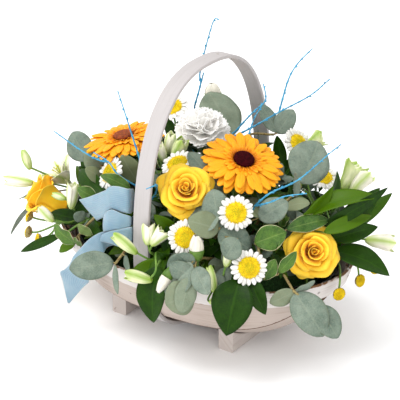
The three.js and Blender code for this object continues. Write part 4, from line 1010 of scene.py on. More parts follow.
def makeSpray(node, kind, spray, stem, random):
    runs = [(smoothPath(plantedPath(node, spray["path"])), 1.3)]
    for fork in spray.get("forks", []):
        path = smoothPath([nearestOn(runs, fork[0])] + fork[1:])
        runs.append((path, np.linspace(1.2, 0.8, len(path))))
    shell = Shell()
    stalks = []
    for leaf in spray["leaves"]:
        foot, tip, width, roll = (leaf + [0.0])[:4]
        shell.add(leafSurface(kind, foot, tip, width, roll, random), leafForms[kind]["thickness"],
                  random.uniform(0, 1))
        root = nearestOn(runs, foot)
        if np.linalg.norm(root - foot) > 0.8:
            middle = (root + np.asarray(foot)) / 2 + outward(foot) * 0.8
            stalks.append((smoothPath([root, middle, foot], 3), np.linspace(0.9, 0.5, 7)))
    meshes = [shell.mesh(node, [finish[kind + "Leaf"]]), tubes(node, runs + stalks, finish[stem])]
    settle(joinMeshes(node, meshes), node + "Spray", inCad(node), kind + "_leaf")


eucalyptus = {
    "eucalyptusTrailFront": {
        "path": [[60, -84, 112], [66, -112, 118], [70, -119, 106], [71, -121, 94]],
        "leaves": [[[71, -121, 95], [54, -141, 86], 34], [[68, -118, 110], [50, -128, 121], 20],
            [[70, -118, 104], [81, -111, 114], 16], [[66, -112, 118], [55, -121, 130], 15]]},
    "eucalyptusTrailRight": {
        "path": [[130, -60, 106], [142, -66, 102], [150, -68, 96], [162, -62, 88], [170, -58, 84]],
        "leaves": [[[150, -68, 95], [185, -70, 62], 33], [[169, -58, 83], [194, -60, 58], 25],
            [[149, -68, 96], [134, -86, 88], 17], [[150, -67, 97], [165, -56, 106], 12, 40]]},
    "eucalyptusLowLeft": {
        "path": [[-20, -86, 112], [-16, -112, 108], [-17, -124, 101]],
        "leaves": [[[-19, -125, 101], [-54, -150, 96], 28], [[-17, -125, 99], [-7, -135, 75], 8],
            [[-12, -116, 107], [1, -127, 99], 8]]},
    "eucalyptusCentre": {
        "path": [[58, -62, 128], [70, -76, 140], [75, -83, 148]],
        "leaves": [[[75, -83, 148], [55, -66, 176], 27], [[75, -84, 147], [56, -106, 158], 26],
            [[75, -84, 146], [103, -73, 130], 28], [[48, -50, 172], [15, -48, 198], 21]]},
    "eucalyptusRight": {
        "path": [[80, -24, 132], [96, -28, 148], [106, 4, 160], [106, 8, 168]],
        "leaves": [[[106, 8, 168], [109, 38, 201], 43], [[112, -10, 162], [117, -16, 190], 12, 50],
            [[98, -50, 150], [116, -30, 166], 25], [[108, -20, 154], [130, -14, 162], 17]]},
    "eucalyptusBack": {
        "path": [[22, 34, 150], [22, 42, 184], [44, 58, 186]],
        "forks": [[[22, 38, 164], [6, 54, 168], [-8, 60, 170]]],
        "leaves": [[[-9, 60, 170], [-46, 74, 206], 45, -60], [[46, 60, 188], [24, 62, 213], 17, -60],
            [[47, 60, 187], [53, 77, 209], 21, 50]]},
    "eucalyptusLeft": {
        "path": [[-62, -40, 128], [-84, -48, 150], [-110, -34, 150], [-132, -27, 147]],
        "forks": [[[-62, -40, 128], [-110, -14, 118], [-150, -18, 104], [-175, -42, 101]]],
        "leaves": [[[-126, -28, 146], [-152, -22, 168], 28, 20],
            [[-92, -40, 146], [-116, -38, 168], 30, 20], [[-84, -52, 142], [-98, -66, 158], 16, -40],
            [[-50, -44, 148], [-62, -54, 176], 22, 30], [[-176, -44, 104], [-202, -50, 90], 20, 20],
            [[-174, -44, 100], [-201, -70, 59], 11, 20], [[-100, -30, 150], [-113, 8, 159], 22]]},
    "eucalyptusFar": {
        "path": [[-6, 44, 112], [-8, 62, 140]],
        "forks": [[[-8, 62, 140], [-34, 80, 136], [-62, 86, 128], [-92, 84, 116]],
            [[-8, 62, 140], [14, 82, 134], [46, 92, 124], [76, 92, 112]]],
        "leaves": [[[-34, 80, 138], [-45, 80, 173], 26], [[-62, 88, 128], [-70, 118, 116], 28],
            [[-84, 84, 122], [-98, 62, 146], 27], [[-94, 86, 114], [-128, 92, 98], 28],
            [[8, 78, 136], [-9, 95, 161], 28], [[42, 92, 124], [36, 122, 106], 30],
            [[60, 92, 120], [70, 98, 146], 26], [[78, 92, 112], [110, 98, 98], 28]]},
}
ruscus = {
    "ruscusRight": {
        "path": [[118, 2, 116], [138, 2, 124], [146, 8, 126]],
        "leaves": [[[146, -4, 128], [176, 42, 167], 27], [[143, 12, 122], [174, 68, 154], 18],
            [[150, -2, 124], [184, 24, 138], 20], [[152, -2, 112], [203, 20, 95], 31],
            [[126, 24, 141], [128, 45, 172], 16]]},
    "ruscusFrontLeft": {
        "path": [[20, -84, 104], [26, -112, 110]],
        "leaves": [[[27, -117, 107], [36, -137, 58], 36], [[24, -108, 108], [-4, -122, 84], 20]]},
    "ruscusFrontRight": {
        "path": [[96, -72, 106], [104, -92, 110]],
        "leaves": [[[106, -96, 108], [112, -128, 66], 44], [[112, -88, 108], [136, -94, 80], 20]]},
    "ruscusLeft": {
        "path": [[-80, -58, 108], [-94, -78, 104], [-102, -92, 97]],
        "leaves": [[[-106, -98, 95], [-149, -112, 70], 11, -20], [[-88, -98, 91], [-103, -107, 80], 12],
            [[-74, -92, 119], [-52, -102, 112], 18]]},
    "ruscusFar": {
        "path": [[-20, 56, 100], [-24, 84, 106]],
        "forks": [[[-24, 84, 106], [-56, 92, 104], [-84, 88, 102]],
            [[-24, 84, 106], [4, 94, 106], [40, 92, 104]]],
        "leaves": [[[-24, 86, 108], [-31, 124, 83], 34], [[-56, 94, 104], [-66, 118, 78], 26],
            [[-84, 90, 102], [-112, 112, 85], 28], [[22, 96, 108], [26, 126, 80], 30],
            [[42, 94, 104], [62, 116, 80], 28]]},
}
pittosporum = {
    "pittosporumLeft": {
        "path": [[-44, -70, 116], [-58, -92, 128], [-66, -100, 122], [-82, -104, 100]],
        "leaves": [[[-30, -82, 160], [-55, -96, 174], 13], [[-64, -92, 144], [-82, -100, 153], 14],
            [[-78, -110, 98], [-103, -113, 113], 17], [[-60, -105, 111], [-77, -108, 118], 10],
            [[-70, -109, 97], [-78, -112, 106], 8]]},
    "pittosporumRight": {
        "path": [[104, -52, 116], [110, -70, 132], [122, -78, 112], [132, -70, 110]],
        "leaves": [[[107, -72, 136], [129, -52, 147], 25], [[123, -80, 106], [130, -72, 126], 14],
            [[133, -70, 112], [146, -60, 134], 12], [[122, -40, 142], [148, -6, 148], 17]]},
}
# Leaves that fill the sides, on stems of their own
addedRuscus = {
    "ruscusFillRight": {
        "path": [[104, -20, 112], [120, -16, 132]],
        "leaves": [[[128, -15, 149], [182, 25, 172], 27, -20], [[144, -10, 140], [191, 30, 175], 15, 20],
            [[123, -25, 140], [147, 5, 175], 17, 30], [[150, -18, 138], [180, 20, 150], 16, 0]]},
    "ruscusFillLeft": {
        "path": [[-60, -50, 106], [-64, -62, 122]],
        "leaves": [[[-66, -68, 136], [-124, -50, 143], 22, 0], [[-76, -73, 124], [-118, -75, 115], 18, 0],
            [[-88, -55, 132], [-122, -60, 129], 16, 25], [[-104, -66, 100], [-140, -75, 100], 18, 0]]},
    "ruscusFillFront": {
        "path": [[24, -56, 104], [26, -86, 116]],
        "leaves": [[[26, -96, 122], [28, -126, 80], 22, 15], [[28, -84, 128], [10, -98, 150], 16, 0],
            [[60, -50, 140], [66, -64, 158], 18, 0]]},
    "ruscusFillFar": {
        "path": [[-80, -22, 104], [-92, -24, 114]],
        "leaves": [[[-98, -24, 122], [-142, -20, 122], 19, 10],
            [[-99, -30, 109], [-140, -26, 107], 18, -10], [[-118, -22, 110], [-155, -14, 126], 19, 0],
            [[-122, -10, 118], [-156, -4, 132], 20, 15]]},
    "ruscusFillBack": {
        "path": [[44, 40, 112], [56, 44, 146]],
        "leaves": [[[63, 45, 158], [52, 50, 190], 15, 90], [[65, 48, 148], [70, 52, 172], 13, 80]]},
    "ruscusFillHoop": {
        "path": [[-66, 46, 106], [-80, 54, 134]],
        "leaves": [[[-83, 60, 141], [-102, 70, 171], 17, 0], [[-76, 60, 143], [-78, 66, 170], 13, 20],
            [[-95, 60, 136], [-112, 64, 158], 15, -20]]},
}
addedEucalyptus = {
    "eucalyptusFillCentre": {
        "path": [[58, -58, 108], [62, -72, 132]],
        "leaves": [[[74, -92, 150], [40, -74, 157], 33, 0], [[58, -62, 146], [20, -37, 164], 34, 0],
            [[96, -48, 150], [70, -24, 156], 28, 0], [[104, -96, 150], [92, -100, 128], 22, 0]]},
    "eucalyptusFillFront": {
        "path": [[62, -66, 104], [64, -104, 122]],
        "leaves": [[[66, -116, 122], [50, -134, 88], 26, 10], [[72, -118, 120], [94, -131, 104], 20, 0],
            [[60, -114, 124], [44, -125, 114], 18, 0], [[68, -122, 110], [68, -137, 79], 21, -10]]},
    "eucalyptusFillLeft": {
        "path": [[-70, 0, 110], [-80, -8, 136]],
        "leaves": [[[-84, -14, 148], [-118, -22, 160], 30, 0], [[-78, -12, 142], [-96, -40, 136], 28, 0]]},
}
# The greens under the flowers and along the rim, each sprig 100 mm long before it is scaled
innerSprigs = {
    "innerRuscus": dict(kind="ruscus", count=30, start=0.3, reach=0.74, levels=5, leaf=34, width=13),
    "innerEucalyptus": dict(kind="eucalyptus", count=15, start=1.9, reach=0.76, levels=4, leaf=26, width=22),
    "innerPittosporum": dict(kind="pittosporum", count=11, start=4.1, reach=0.78, levels=5, leaf=22,
        width=11),
    "edgeRuscus": dict(kind="ruscus", count=26, start=0.9, reach=0.82, levels=4, leaf=38, width=17, edge=0.9),
    "edgeEucalyptus": dict(kind="eucalyptus", count=10, start=2.6, reach=0.8, levels=3, leaf=28, width=24,
        edge=0.9),
}
sprigField = {"Foam Length": 0.098, "Foam Width": 0.055, "Foam Top": (foam["top"] - 6) / 1000,
              "Dome Length": 0.165, "Dome Width": 0.12, "Dome Height": 0.118}
# What the inner greens keep clear of: the radius of a head, and its reach behind and before; half the width
# of the hoop, half its span and a margin; where the band starts and ends, as shares of the rim, and its top
clearOf = {"rose": (28, -24, 55), "gerbera": (39, -7, 45), "daisy": (18, -4, 35), "carnation": (29, -16, 45),
           "bow": (44, -8, 45), "hoop": (10.5, 105, 5.5), "band": (0.95, 1.07, 92)}
bowFront = {"at": [-48, -112, 132], "face": [-0.1, -0.95, 0.3]}


def islandsOf(mesh):
    # The lowest corner number of the loose part that each corner belongs to
    ends = np.array([e.vertices[:] for e in mesh.edges])
    island = np.arange(len(mesh.vertices))
    before = None
    while before is None or (before != island).any():
        before = island.copy()
        low = np.minimum(island[ends[:, 0]], island[ends[:, 1]])
        np.minimum.at(island, ends[:, 0], low)
        np.minimum.at(island, ends[:, 1], low)
    return island


def clearLeaves(mesh):
    # Takes out the leaves of the inner greens that would stand in a bloom, the bow, the hoop or the band
    daisies = [head for one in santinis.values() for head in one.get("daisies", [])]
    heads = {"rose": roses.values(), "gerbera": gerberas.values(), "daisy": daisies, "carnation": [carnation],
             "bow": [bowFront]}
    places = fromFrame([v.co for v in mesh.vertices])
    halfWidth, span, play = clearOf["hoop"]
    bad = (abs(places[:, 0]) < halfWidth) & (abs(abs(places[:, 1]) - span) < play)
    share = np.hypot(places[:, 0] / trug["rimHalfLength"], places[:, 1] / trug["rimHalfWidth"])
    inner, outer, top = clearOf["band"]
    bad |= (share > inner) & (share < outer) & (places[:, 2] < top)
    for kind, head in [(kind, head) for kind in heads for head in heads[kind]]:
        radius, low, high = clearOf[kind]
        axis = unit(head["face"])
        away = places - head["at"]
        along = away @ axis
        across = np.linalg.norm(away - along[:, None] * axis, axis=1)
        bad |= (along > low) & (along < high) & (across < radius)
    island = islandsOf(mesh)
    gone = np.isin(island, np.unique(island[bad]))
    work = bmesh.new()
    work.from_mesh(mesh)
    work.verts.ensure_lookup_table()
    bmesh.ops.delete(work, geom=[work.verts[k] for k in np.nonzero(gone)[0]], context="VERTS")
    work.to_mesh(mesh)
    work.free()
    return mesh


def makeInnerSprigs(name, form, random):
    shell = Shell()
    leafLook = finish[form["kind"] + "Leaf"]
    for level in range(form["levels"]):
        height = 42 + 50 * level / (form["levels"] - 1)
        for side in (0, math.pi):
            around = level * math.pi / 2 + side + random.uniform(-0.3, 0.3)
            away = np.array([math.cos(around), math.sin(around), 0])
            lift = random.uniform(0.35, 0.75)
            foot = away + np.array([0, 0, height])
            tip = foot + unit(away + np.array([0, 0, lift])) * form["leaf"] * random.uniform(0.85, 1.1)
            width = form["width"] * random.uniform(0.85, 1.1)
            shell.add(leafSurface(form["kind"], foot, tip, width, random.uniform(-25, 25), random,
                                  unit(np.array([0, 0, 1.0]) - 0.3 * away)), 0.4, random.uniform(0, 1))
    shell.add(leafSurface(form["kind"], [0, 0, 98], [3, 0, 98 + form["leaf"] * 0.8], form["width"] * 0.8, 20,
                          random, [0, 1, 0]), 0.4)
    stalk = ([[0, 0, -6.0], [0, 0, 50], [0, 0, 99]], [1.4, 1.2, 0.8])
    stem = tubes(name, [stalk], finish["greenStem"], 5, local=True)
    setValues(stem, "woody", np.ones(len(stem.vertices)))
    sprig = joinMeshes(name, [shell.mesh(name, [leafLook], local=True), stem])
    mesh = throughTree(sprigTree, sprig, {
        **sprigField, "Count": form["count"], "Reach": form["reach"], "Start": form["start"],
        "Edge": form.get("edge", 0.0), "Seed": len(name), "Leaf Finish": leafLook,
        "Stem Finish": finish["greenStem"]})
    mesh.transform(Matrix.Translation(trugMiddle))
    settle(clearLeaves(mesh), name, (), form["kind"] + "_leaf")


draws = np.random.default_rng(5)
for name, form in innerSprigs.items():
    makeInnerSprigs(name, form, draws)
draws = np.random.default_rng(7)
for kind, stem, sprays in (("eucalyptus", "woodyStem", {**eucalyptus, **addedEucalyptus}),
                           ("ruscus", "greenStem", {**ruscus, **addedRuscus}),
                           ("pittosporum", "woodyStem", pittosporum)):
    for node, spray in sprays.items():
        makeSpray(node, kind, spray, stem, draws)
print("foliage made")

gerbera = {"radius": 38, "eyeRadius": 8.8, "eyeLift": 0.0028}


def rayPetal(length, width, columns=7, rows=12, droop=0.0, ridge=0.03, thickness=0.35, shoulder=0.45, tip=0.3,
             power=0.5, cup=0.08):
    # One petal along +X from its foot at the origin
    v = lanes(rows, columns)[1]
    u = (1 - (1 - np.linspace(0, 1, rows)) ** 1.6)[:, None]
    swell = np.minimum(1, u / 0.6)
    end = np.maximum(0.02, 1 - (np.maximum(0, u - 1 + tip) / tip) ** 2) ** power
    half = width / 2 * (shoulder + (1 - shoulder) * swell * swell * (3 - 2 * swell)) * end
    x = length * u * (1 - 0.02 * np.cos(v * 5) * u ** 6)
    ridges = ridge * width * np.cos(v * 2.4 * np.pi) * np.sin(np.pi * np.minimum(1, u * 1.1))
    z = 0.06 * length * np.sin(np.pi * u) - droop * length * u ** 2.5 + ridges - cup * width * v ** 2
    shell = Shell()
    shell.add(stacked(x, v * half, z), thickness)
    return shell.mesh("petal", [], local=True)


def floret(radius, height):
    # A small closed cup for the discs, six-sided in four rings
    angle = np.linspace(0, fullTurn, 6, endpoint=False)
    rings = [(0.25, -0.5), (1.0, 0.0), (0.8, 0.7), (0.12, 1.0)]
    corners = np.array([[r * radius * math.cos(a), r * radius * math.sin(a), z * height]
                        for r, z in rings for a in angle])
    quads = gridQuads(4, 6, ring=True)[:, [0, 3, 2, 1]].tolist()
    quads += [[18, 19, 20, 21], [18, 21, 22, 23], [3, 2, 1, 0], [5, 4, 3, 0]]
    return buildMesh("floret", corners / 1000, np.array(quads), [])


def ringOf(petal, material, count, inner, height=0.0, tilt=0.0, tiltPlay=0.08, sizePlay=0.05, sidePlay=0.04,
           turn=0.0, seed=1, widthShare=1.0):
    return throughTree(ringTree, petal, {
        "Count": count, "Inner Radius": inner / 1000, "Height": height / 1000, "Tilt": tilt,
        "Tilt Play": tiltPlay, "Size Play": sizePlay, "Side Play": sidePlay, "Turn": turn, "Seed": seed,
        "Width Share": widthShare, "Finish": material})


def discOf(piece, material, heartMaterial, count, radius, rise, inner, outer, lean, heart, seed):
    return throughTree(discTree, piece, {
        "Count": count, "Radius": radius / 1000, "Rise": rise / 1000, "Inner Size": inner,
        "Outer Size": outer, "Lean": lean, "Heart": heart, "Seed": seed, "Heart Finish": heartMaterial,
        "Finish": material})


def turnedMesh(name, profile, material, sides=24):
    # A turned solid about +Z, its UV running from end to end
    angle = np.linspace(0, fullTurn, sides, endpoint=False)[:, None]
    radius, height = np.array(profile, float).T[:, None]
    columns = len(profile)
    surface = stacked(radius * np.cos(angle), radius * np.sin(angle), height)
    u, v = np.tile(np.linspace(0, 1, columns), sides), np.repeat(np.linspace(0, 1, sides), columns)
    return pointOut(buildMesh(name, surface.reshape(-1, 3) / 1000, gridQuads(sides, columns, True),
                              [material], np.stack([u, v], -1), {"tone": np.full(sides * columns, 0.5)}))


def stemTube(node, at, face, start, radius, sides):
    # A stem from its hole in the foam to the given distance behind the head
    neck, bend = (np.asarray(at) - unit(face) * back for back in (start, start + 12))
    return tubes("stem", [(smoothPath(plantedPath(node, [bend, neck])), radius)], finish["greenStem"], sides)


def makeGerbera(name, at, face):
    pose = flowerPose(at, face)
    size = gerbera["radius"]
    ray = finish["gerberaPetal"]
    outer = rayPetal(size - 8, 9.4, droop=0.08)
    middle = rayPetal(size * 0.9 - 8, 8.4, droop=0.05)
    short = rayPetal(size * 0.56 - 8, 4.4, droop=-0.03)
    fringe = rayPetal(7.5, 1.3, columns=3, rows=5, ridge=0.0, thickness=0.3)
    rays = [
        ringOf(outer, ray, 20, 9, -2.4, -0.02, 0.08, 0.06, 0.06, 0.5, 3),
        ringOf(outer, ray, 20, 9, -1.0, 0.04, 0.09, 0.08, 0.08, 0.0, 5),
        ringOf(middle, ray, 17, 9, 0.4, 0.1, 0.09, 0.1, 0.1, 0.25, 7),
        ringOf(short, ray, 30, 8.5, 1.4, 0.16, 0.1, 0.18, 0.08, 0.1, 9),
        ringOf(fringe, finish["gerberaFringePetal"], 60, 9.2, 2.2, 0.42, 0.2, 0.25, 0.08, 0.0, 11),
        turnedMesh("cup", [(0, -3.6), (9, -3.4), (12, -1.6), (12.2, 1.2), (9, 2.4), (0, 2.4)], ray),
    ]
    assemble(name + "Rays", pose, rays, [name + "Petals"], "gerbera_petal")
    dark = finish["gerberaEyeBrown" if name == "gerberaBack" else "gerberaEye"]
    eye = [discOf(floret(0.72, 1.9), dark, dark, 230, gerbera["eyeRadius"], 0.9, 0.65, 1.25, 0.75, 0.4, 2),
           turnedMesh("pad", [(0, 0.2), (9.6, 0.2), (10, 2.2), (8, 3.6), (0, 3.4)], dark)]
    for mesh in eye:
        mesh.transform(Matrix.Translation((0, 0, gerbera["eyeLift"])))
    assemble(name + "Disc", pose, eye, [name + "Eye"], "gerbera_eye")
    bract = rayPetal(9, 2.6, columns=3, rows=6, thickness=0.4, shoulder=0.9, tip=0.9, power=0.8)
    green = [turnedMesh("cup", [(0, -9.6), (2.6, -9.8), (4.2, -8), (8, -5), (9.4, -3.4), (0, -3.2)],
                        finish["greenStem"]),
             ringOf(bract, finish["sepalLeaf"], 22, 4.6, -8.6, 0.75, 0.1, 0.15, 0.05, 0.0, 4)]
    assemble(name + "Stalk", pose, green, [name + "Stem"], "green_stem",
             [stemTube(name + "Stem", at, face, 7, 2.6, 10)])


def makeNails():
    # Domed nail heads round the band, and one near the top of the hoop
    steel = finish["nailHead"]
    profile = [(0, -0.6), (1.3, -0.4), (1.5, 0.05), (1.1, 0.4), (0.5, 0.55), (0, 0.6)]
    head = turnedMesh("head", profile, steel, 12)
    sideways = head.copy()
    sideways.transform(Matrix.Rotation(math.radians(90), 4, "Y"))
    flare = math.atan2(trug["rimFlare"], trug["rimHeight"])
    reach = trug["rimHalfLength"] + trug["rimFlare"] / 2
    ring = ringOf(sideways, steel, 16, reach, trug["rimFoot"] + trug["rimHeight"] / 2, -flare, 0.0, 0.1, 0.03,
                  0.35, 8, (trug["rimHalfWidth"] + trug["rimFlare"] / 2) / reach)
    ring.transform(Matrix.Translation(trugMiddle))
    crown = handleLine(np.array(math.radians(98)))
    top = poseMesh(head, flowerPose(crown + [0, -0.2, trug["handleThickness"] / 2], [0, -0.15, 1]))
    settle(joinMeshes("nails", [ring, top]), "nailHeads", (), "pick_wire")


makeNails()
for name, one in gerberas.items():
    makeGerbera(name, **one)
print("gerberas made")

# One number for each ring of petals, from the heart outwards: wide in degrees, the rest in radii
rose = {"radius": 26, "rings": {
    "count": (2, 3, 3, 3, 4, 4), "wide": (250, 190, 170, 165, 140, 120),
    "foot": (0.01, 0.05, 0.12, 0.22, 0.3, 0.34), "lip": (0.12, 0.27, 0.47, 0.68, 0.82, 0.9),
    "high": (0.42, 0.44, 0.4, 0.27, 0.1, -0.1),
    "curl": (0.0, 0.02, 0.07, 0.12, 0.17, 0.17), "curlFrom": (0.8, 0.8, 0.8, 0.76, 0.72, 0.7),
    "drop": (0.04, 0.1, 0.16, 0.2, 0.2, 0.16), "point": (0.0, 0.0, 0.03, 0.06, 0.1, 0.13),
    "turn": (0.0, 1.1, 0.3, 1.2, 0.4, 1.2), "tuck": (0.05, 0.06, 0.06, 0.05, 0.04, 0.03),
    "slant": (0.04, 0.05, 0.04, 0.03, 0.0, 0.0)}}


def rosePetal(size, random, bloom, ring, i):
    middle = (i + random.uniform(-0.2, 0.2)) / ring["count"] * fullTurn + ring["turn"]
    u, v = lanes(17, 19)
    lip = np.maximum(0, u - ring["curlFrom"]) / (1 - ring["curlFrom"])
    breadth = 0.6 + 0.4 * np.sin(np.pi * np.clip(0.1 + 0.62 * u, 0, 0.5)) - 0.22 * lip ** 2
    lipOut = ring["lip"] * (1 - (1 - bloom) * ring["lip"]) * random.uniform(0.93, 1.06)
    lipUp = ring["high"] + (1 - bloom) * 1.1 * ring["lip"] ** 2
    curl = ring["curl"] * bloom
    tuck = ring["tuck"] * v + 0.02 * np.sin(v * 4 + i * 2.0) * u ** 3
    point = ring["point"] * np.exp(-(v / 0.3) ** 2) * u ** 8
    rise = u ** 1.6
    radius = size * (ring["foot"] + (lipOut - ring["foot"]) * (0.35 * np.sin(np.pi / 2 * u) + 0.65 * rise)
                     + curl * lip ** 2 * (1 - 0.2 * v ** 2) + tuck * u + point)
    height = size * (-0.62 + (lipUp + 0.62) * u - curl * 0.95 * lip ** 2.4 - ring["drop"] * v ** 2 * u ** 1.5
                     + 0.02 * np.sin(v * 5 + i * 1.7) * u ** 3 + random.uniform(-0.05, 0.04)
                     + ring["slant"] * v * u)
    angle = middle + v * math.radians(ring["wide"]) / 2 * breadth
    shift = random.uniform(-1, 1, 2) * ring["lip"] * size * 0.09
    return stacked(radius * np.cos(angle) + shift[0] * rise, radius * np.sin(angle) + shift[1] * rise, height)


def makeRose(name, at, face, twist, bloom=0.88, depth=1.15, radius=rose["radius"]):
    random = np.random.default_rng(sum(map(ord, name)))
    pose = flowerPose(at, face, twist)
    shell = Shell()
    for values in zip(*rose["rings"].values()):
        ring = dict(zip(rose["rings"], values))
        for i in range(ring["count"]):
            shell.add(rosePetal(radius, random, bloom, ring, i), 0.35, random.uniform(0, 1))
    heart = [(0, -17), (7, -16), (6, -11), (2.0, 0), (0.7, 8), (0, 8.4)]
    head = [shell.mesh("rose", [finish["rosePetal"]], local=True),
            turnedMesh("heart", heart, finish["rosePetal"])]
    foot = Matrix.Translation((0, 0, -0.016))
    for mesh in head:  # taller from the same foot
        mesh.transform(foot @ Matrix.Diagonal((1, 1, depth, 1)) @ foot.inverted())
    assemble(name + "Petals", pose, head, [name + "Bloom"], "rose_petal")
    sepal = rayPetal(24, 6.5, columns=5, rows=11, droop=0.12, ridge=0.0, thickness=0.4, shoulder=0.9,
                     tip=0.95, power=0.9)
    hip = [(0, -28), (2.6, -28), (5, -25), (7, -20), (6.6, -17.2), (0, -17)]
    green = [turnedMesh("hip", hip, finish["greenStem"]),
             ringOf(sepal, finish["sepalLeaf"], 5, 4.5, -19.5, 0.1, 0.25, 0.12, 0.1, 0.2, 6)]
    assemble(name + "Sepals", pose, green, [name + "Calyx"], "green_stem",
             [stemTube(name + "Calyx", at, face, radius * 0.95, 2.2, 9)])


for name, one in roses.items():
    makeRose(name, **one)
print("roses made")

carnationBuds = {
    "carnationBudTop": {
        "radius": 9.2, "path": [[-48, 86, 150], [-48, 88, 176]], "foot": [-49, 86, 192],
        "tip": [-51, 87, 211]},
    "carnationBudFront": {
        "radius": 7.5, "path": [[52, -72, 104], [64, -100, 108]], "foot": [66, -107, 121],
        "tip": [63, -104, 146]},
    "carnationBudLow": {
        "radius": 6, "path": [[34, -72, 106], [44, -104, 118]], "foot": [49, -121, 115],
        "tip": [43, -139, 94]},
}
carnationRings = [(7, 84, 1.08), (6, 67, 1.02), (6, 50, 0.95), (4, 31, 0.86), (3, 13, 0.82)]


def carnationPetal(size, random, count, lean, reach, i):
    around = (i + lean / 50 + random.uniform(-0.15, 0.15)) / count * fullTurn
    tilt = math.radians(lean + random.uniform(-8, 8))
    out = np.array([math.cos(around), math.sin(around), 0])
    side = np.array([-out[1], out[0], 0])
    rise = out * math.sin(tilt) + np.array([0, 0, math.cos(tilt)])
    u, v = lanes(13, 41)
    tooth = 1 - 0.08 * abs(np.sin(v * 12.5 + i)) ** 0.7 * u ** 8
    along = size * reach * (0.14 + 0.86 * u) * (1 - 0.16 * v ** 2 * u ** 2) * tooth
    phase = random.uniform(0, 6)
    ruffle = u ** 2.2 * (2.3 * np.sin(v * 4.2 + phase) + 0.45 * np.sin(v * 9 + phase * 2))
    lift = ruffle + 3.0 * u ** 2 * (1 - v ** 2) - 2.5 * u ** 3
    surface = stacked(along, v * (0.08 + 0.5 * u ** 0.9) * size, lift)
    return np.array([0, 0, -9.5]) + surface @ np.array([rise, side, np.cross(side, rise)])


def makeCarnation():
    pose = flowerPose(carnation["at"], carnation["face"])
    random = np.random.default_rng(21)
    shell = Shell()
    for count, lean, reach in carnationRings:
        for i in range(count):
            petal = carnationPetal(carnation["radius"], random, count, lean, reach, i)
            shell.add(petal, 0.35, random.uniform(0, 1))
    assemble("carnationHead", pose, [shell.mesh("carnation", [finish["carnationPetal"]], local=True)],
             ["carnationBloom"], "carnation_petal")
    tube = [(0, -27), (2.6, -27), (5, -23.5), (5.8, -18), (6, -13), (5, -12), (0, -12)]
    assemble("carnationTube", pose, [turnedMesh("tube", tube, finish["greenStem"])], ["carnationCalyx"],
             "green_stem", [stemTube("carnationCalyx", carnation["at"], carnation["face"], 24, 2.0, 9)])


def budPetals(foot, tip, radius, material, random, twist, spreadTips=0.0, count=3, wrap=1.25):
    # Petals wrapped round a bud; spreadTips lets their tips stand apart
    foot, tip = np.asarray(foot, float), np.asarray(tip, float)
    length = np.linalg.norm(tip - foot)
    shell = Shell()
    start = random.uniform(0, fullTurn)
    u, v = lanes(15, 11)
    body = np.sin(np.pi * np.clip(0.1 + 0.83 * u ** 0.75, 0, 1)) ** 0.8 * (1 - 0.42 * (1 - u) ** 2)
    parting = np.maximum(0, (u - 0.72) / 0.28) ** 2 * min(1, spreadTips * 4)
    narrow = 1 - 0.3 * spreadTips * u ** 3 - 0.6 * parting
    for i in range(count):
        apart = spreadTips * np.maximum(0, u - 0.4) ** 1.5 * 2.6 * random.uniform(0.75, 1.15)
        ring = radius * (body + apart) + 0.3 * v * u + 0.25 * i / count
        angle = start + fullTurn * i / count + v * math.pi / count * wrap * narrow + twist * u
        z = length * (u - 0.05 * random.uniform(0, 1) * u) * (1 - 0.06 * v ** 2 * u ** 4)
        shell.add(stacked(ring * np.cos(angle), ring * np.sin(angle), z), 0.3, random.uniform(0, 1))
    return poseMesh(shell.mesh("bud", [material], local=True), flowerPose(foot, tip - foot))


def makeCarnationBud(name, bud, random):
    foot, tip = np.asarray(bud["foot"], float), np.asarray(bud["tip"], float)
    path = smoothPath(np.vstack([plantedPath(name, bud["path"]), foot, foot + 0.15 * (tip - foot)]))
    length, wide = np.linalg.norm(tip - foot), bud["radius"]
    cup = [(0, -1), (wide * 0.42, -0.6), (wide * 0.72, length * 0.12), (wide * 0.92, length * 0.27),
           (wide * 0.98, length * 0.42), (wide * 0.84, length * 0.4), (0, length * 0.34)]
    meshes = [budPetals(foot, tip, wide, finish["carnationBudPetal"], random, 0.9, 0.0, 5, 1.5),
              poseMesh(turnedMesh("cup", cup, finish["sepalLeaf"], 14), flowerPose(foot, tip - foot)),
              tubes("stem", [(path, 1.2)], finish["greenStem"])]
    settle(joinMeshes(name, meshes), name + "Closed", [name], "carnation_petal")


makeCarnation()
draws = np.random.default_rng(31)
for name, bud in carnationBuds.items():
    makeCarnationBud(name, bud, draws)
print("carnation made")

daisy = {"radius": 16.6, "rays": 19, "disc": 10.4, "florets": 150,
         "pad": [(0, -3.4), (5, -3.2), (9.4, -1.4), (10.2, 0.4), (8.4, 1.4), (4, 2.2), (0, 2.5)],
         "cup": [(0, -3.8), (2.2, -3.8), (7, -2.6), (9.6, -1.2), (9.4, -0.9), (0, -1)]}
button = {"pad": [(0, -3.8), (3, -3.6), (5.6, -1.4), (6, 0.2), (4, 1.6), (0, 2.4)],
          "cup": [(0, -4.3), (2, -4.2), (5.4, -2.2), (6.5, 0.2), (6.3, 0.6), (5.6, 0), (0, -1)]}


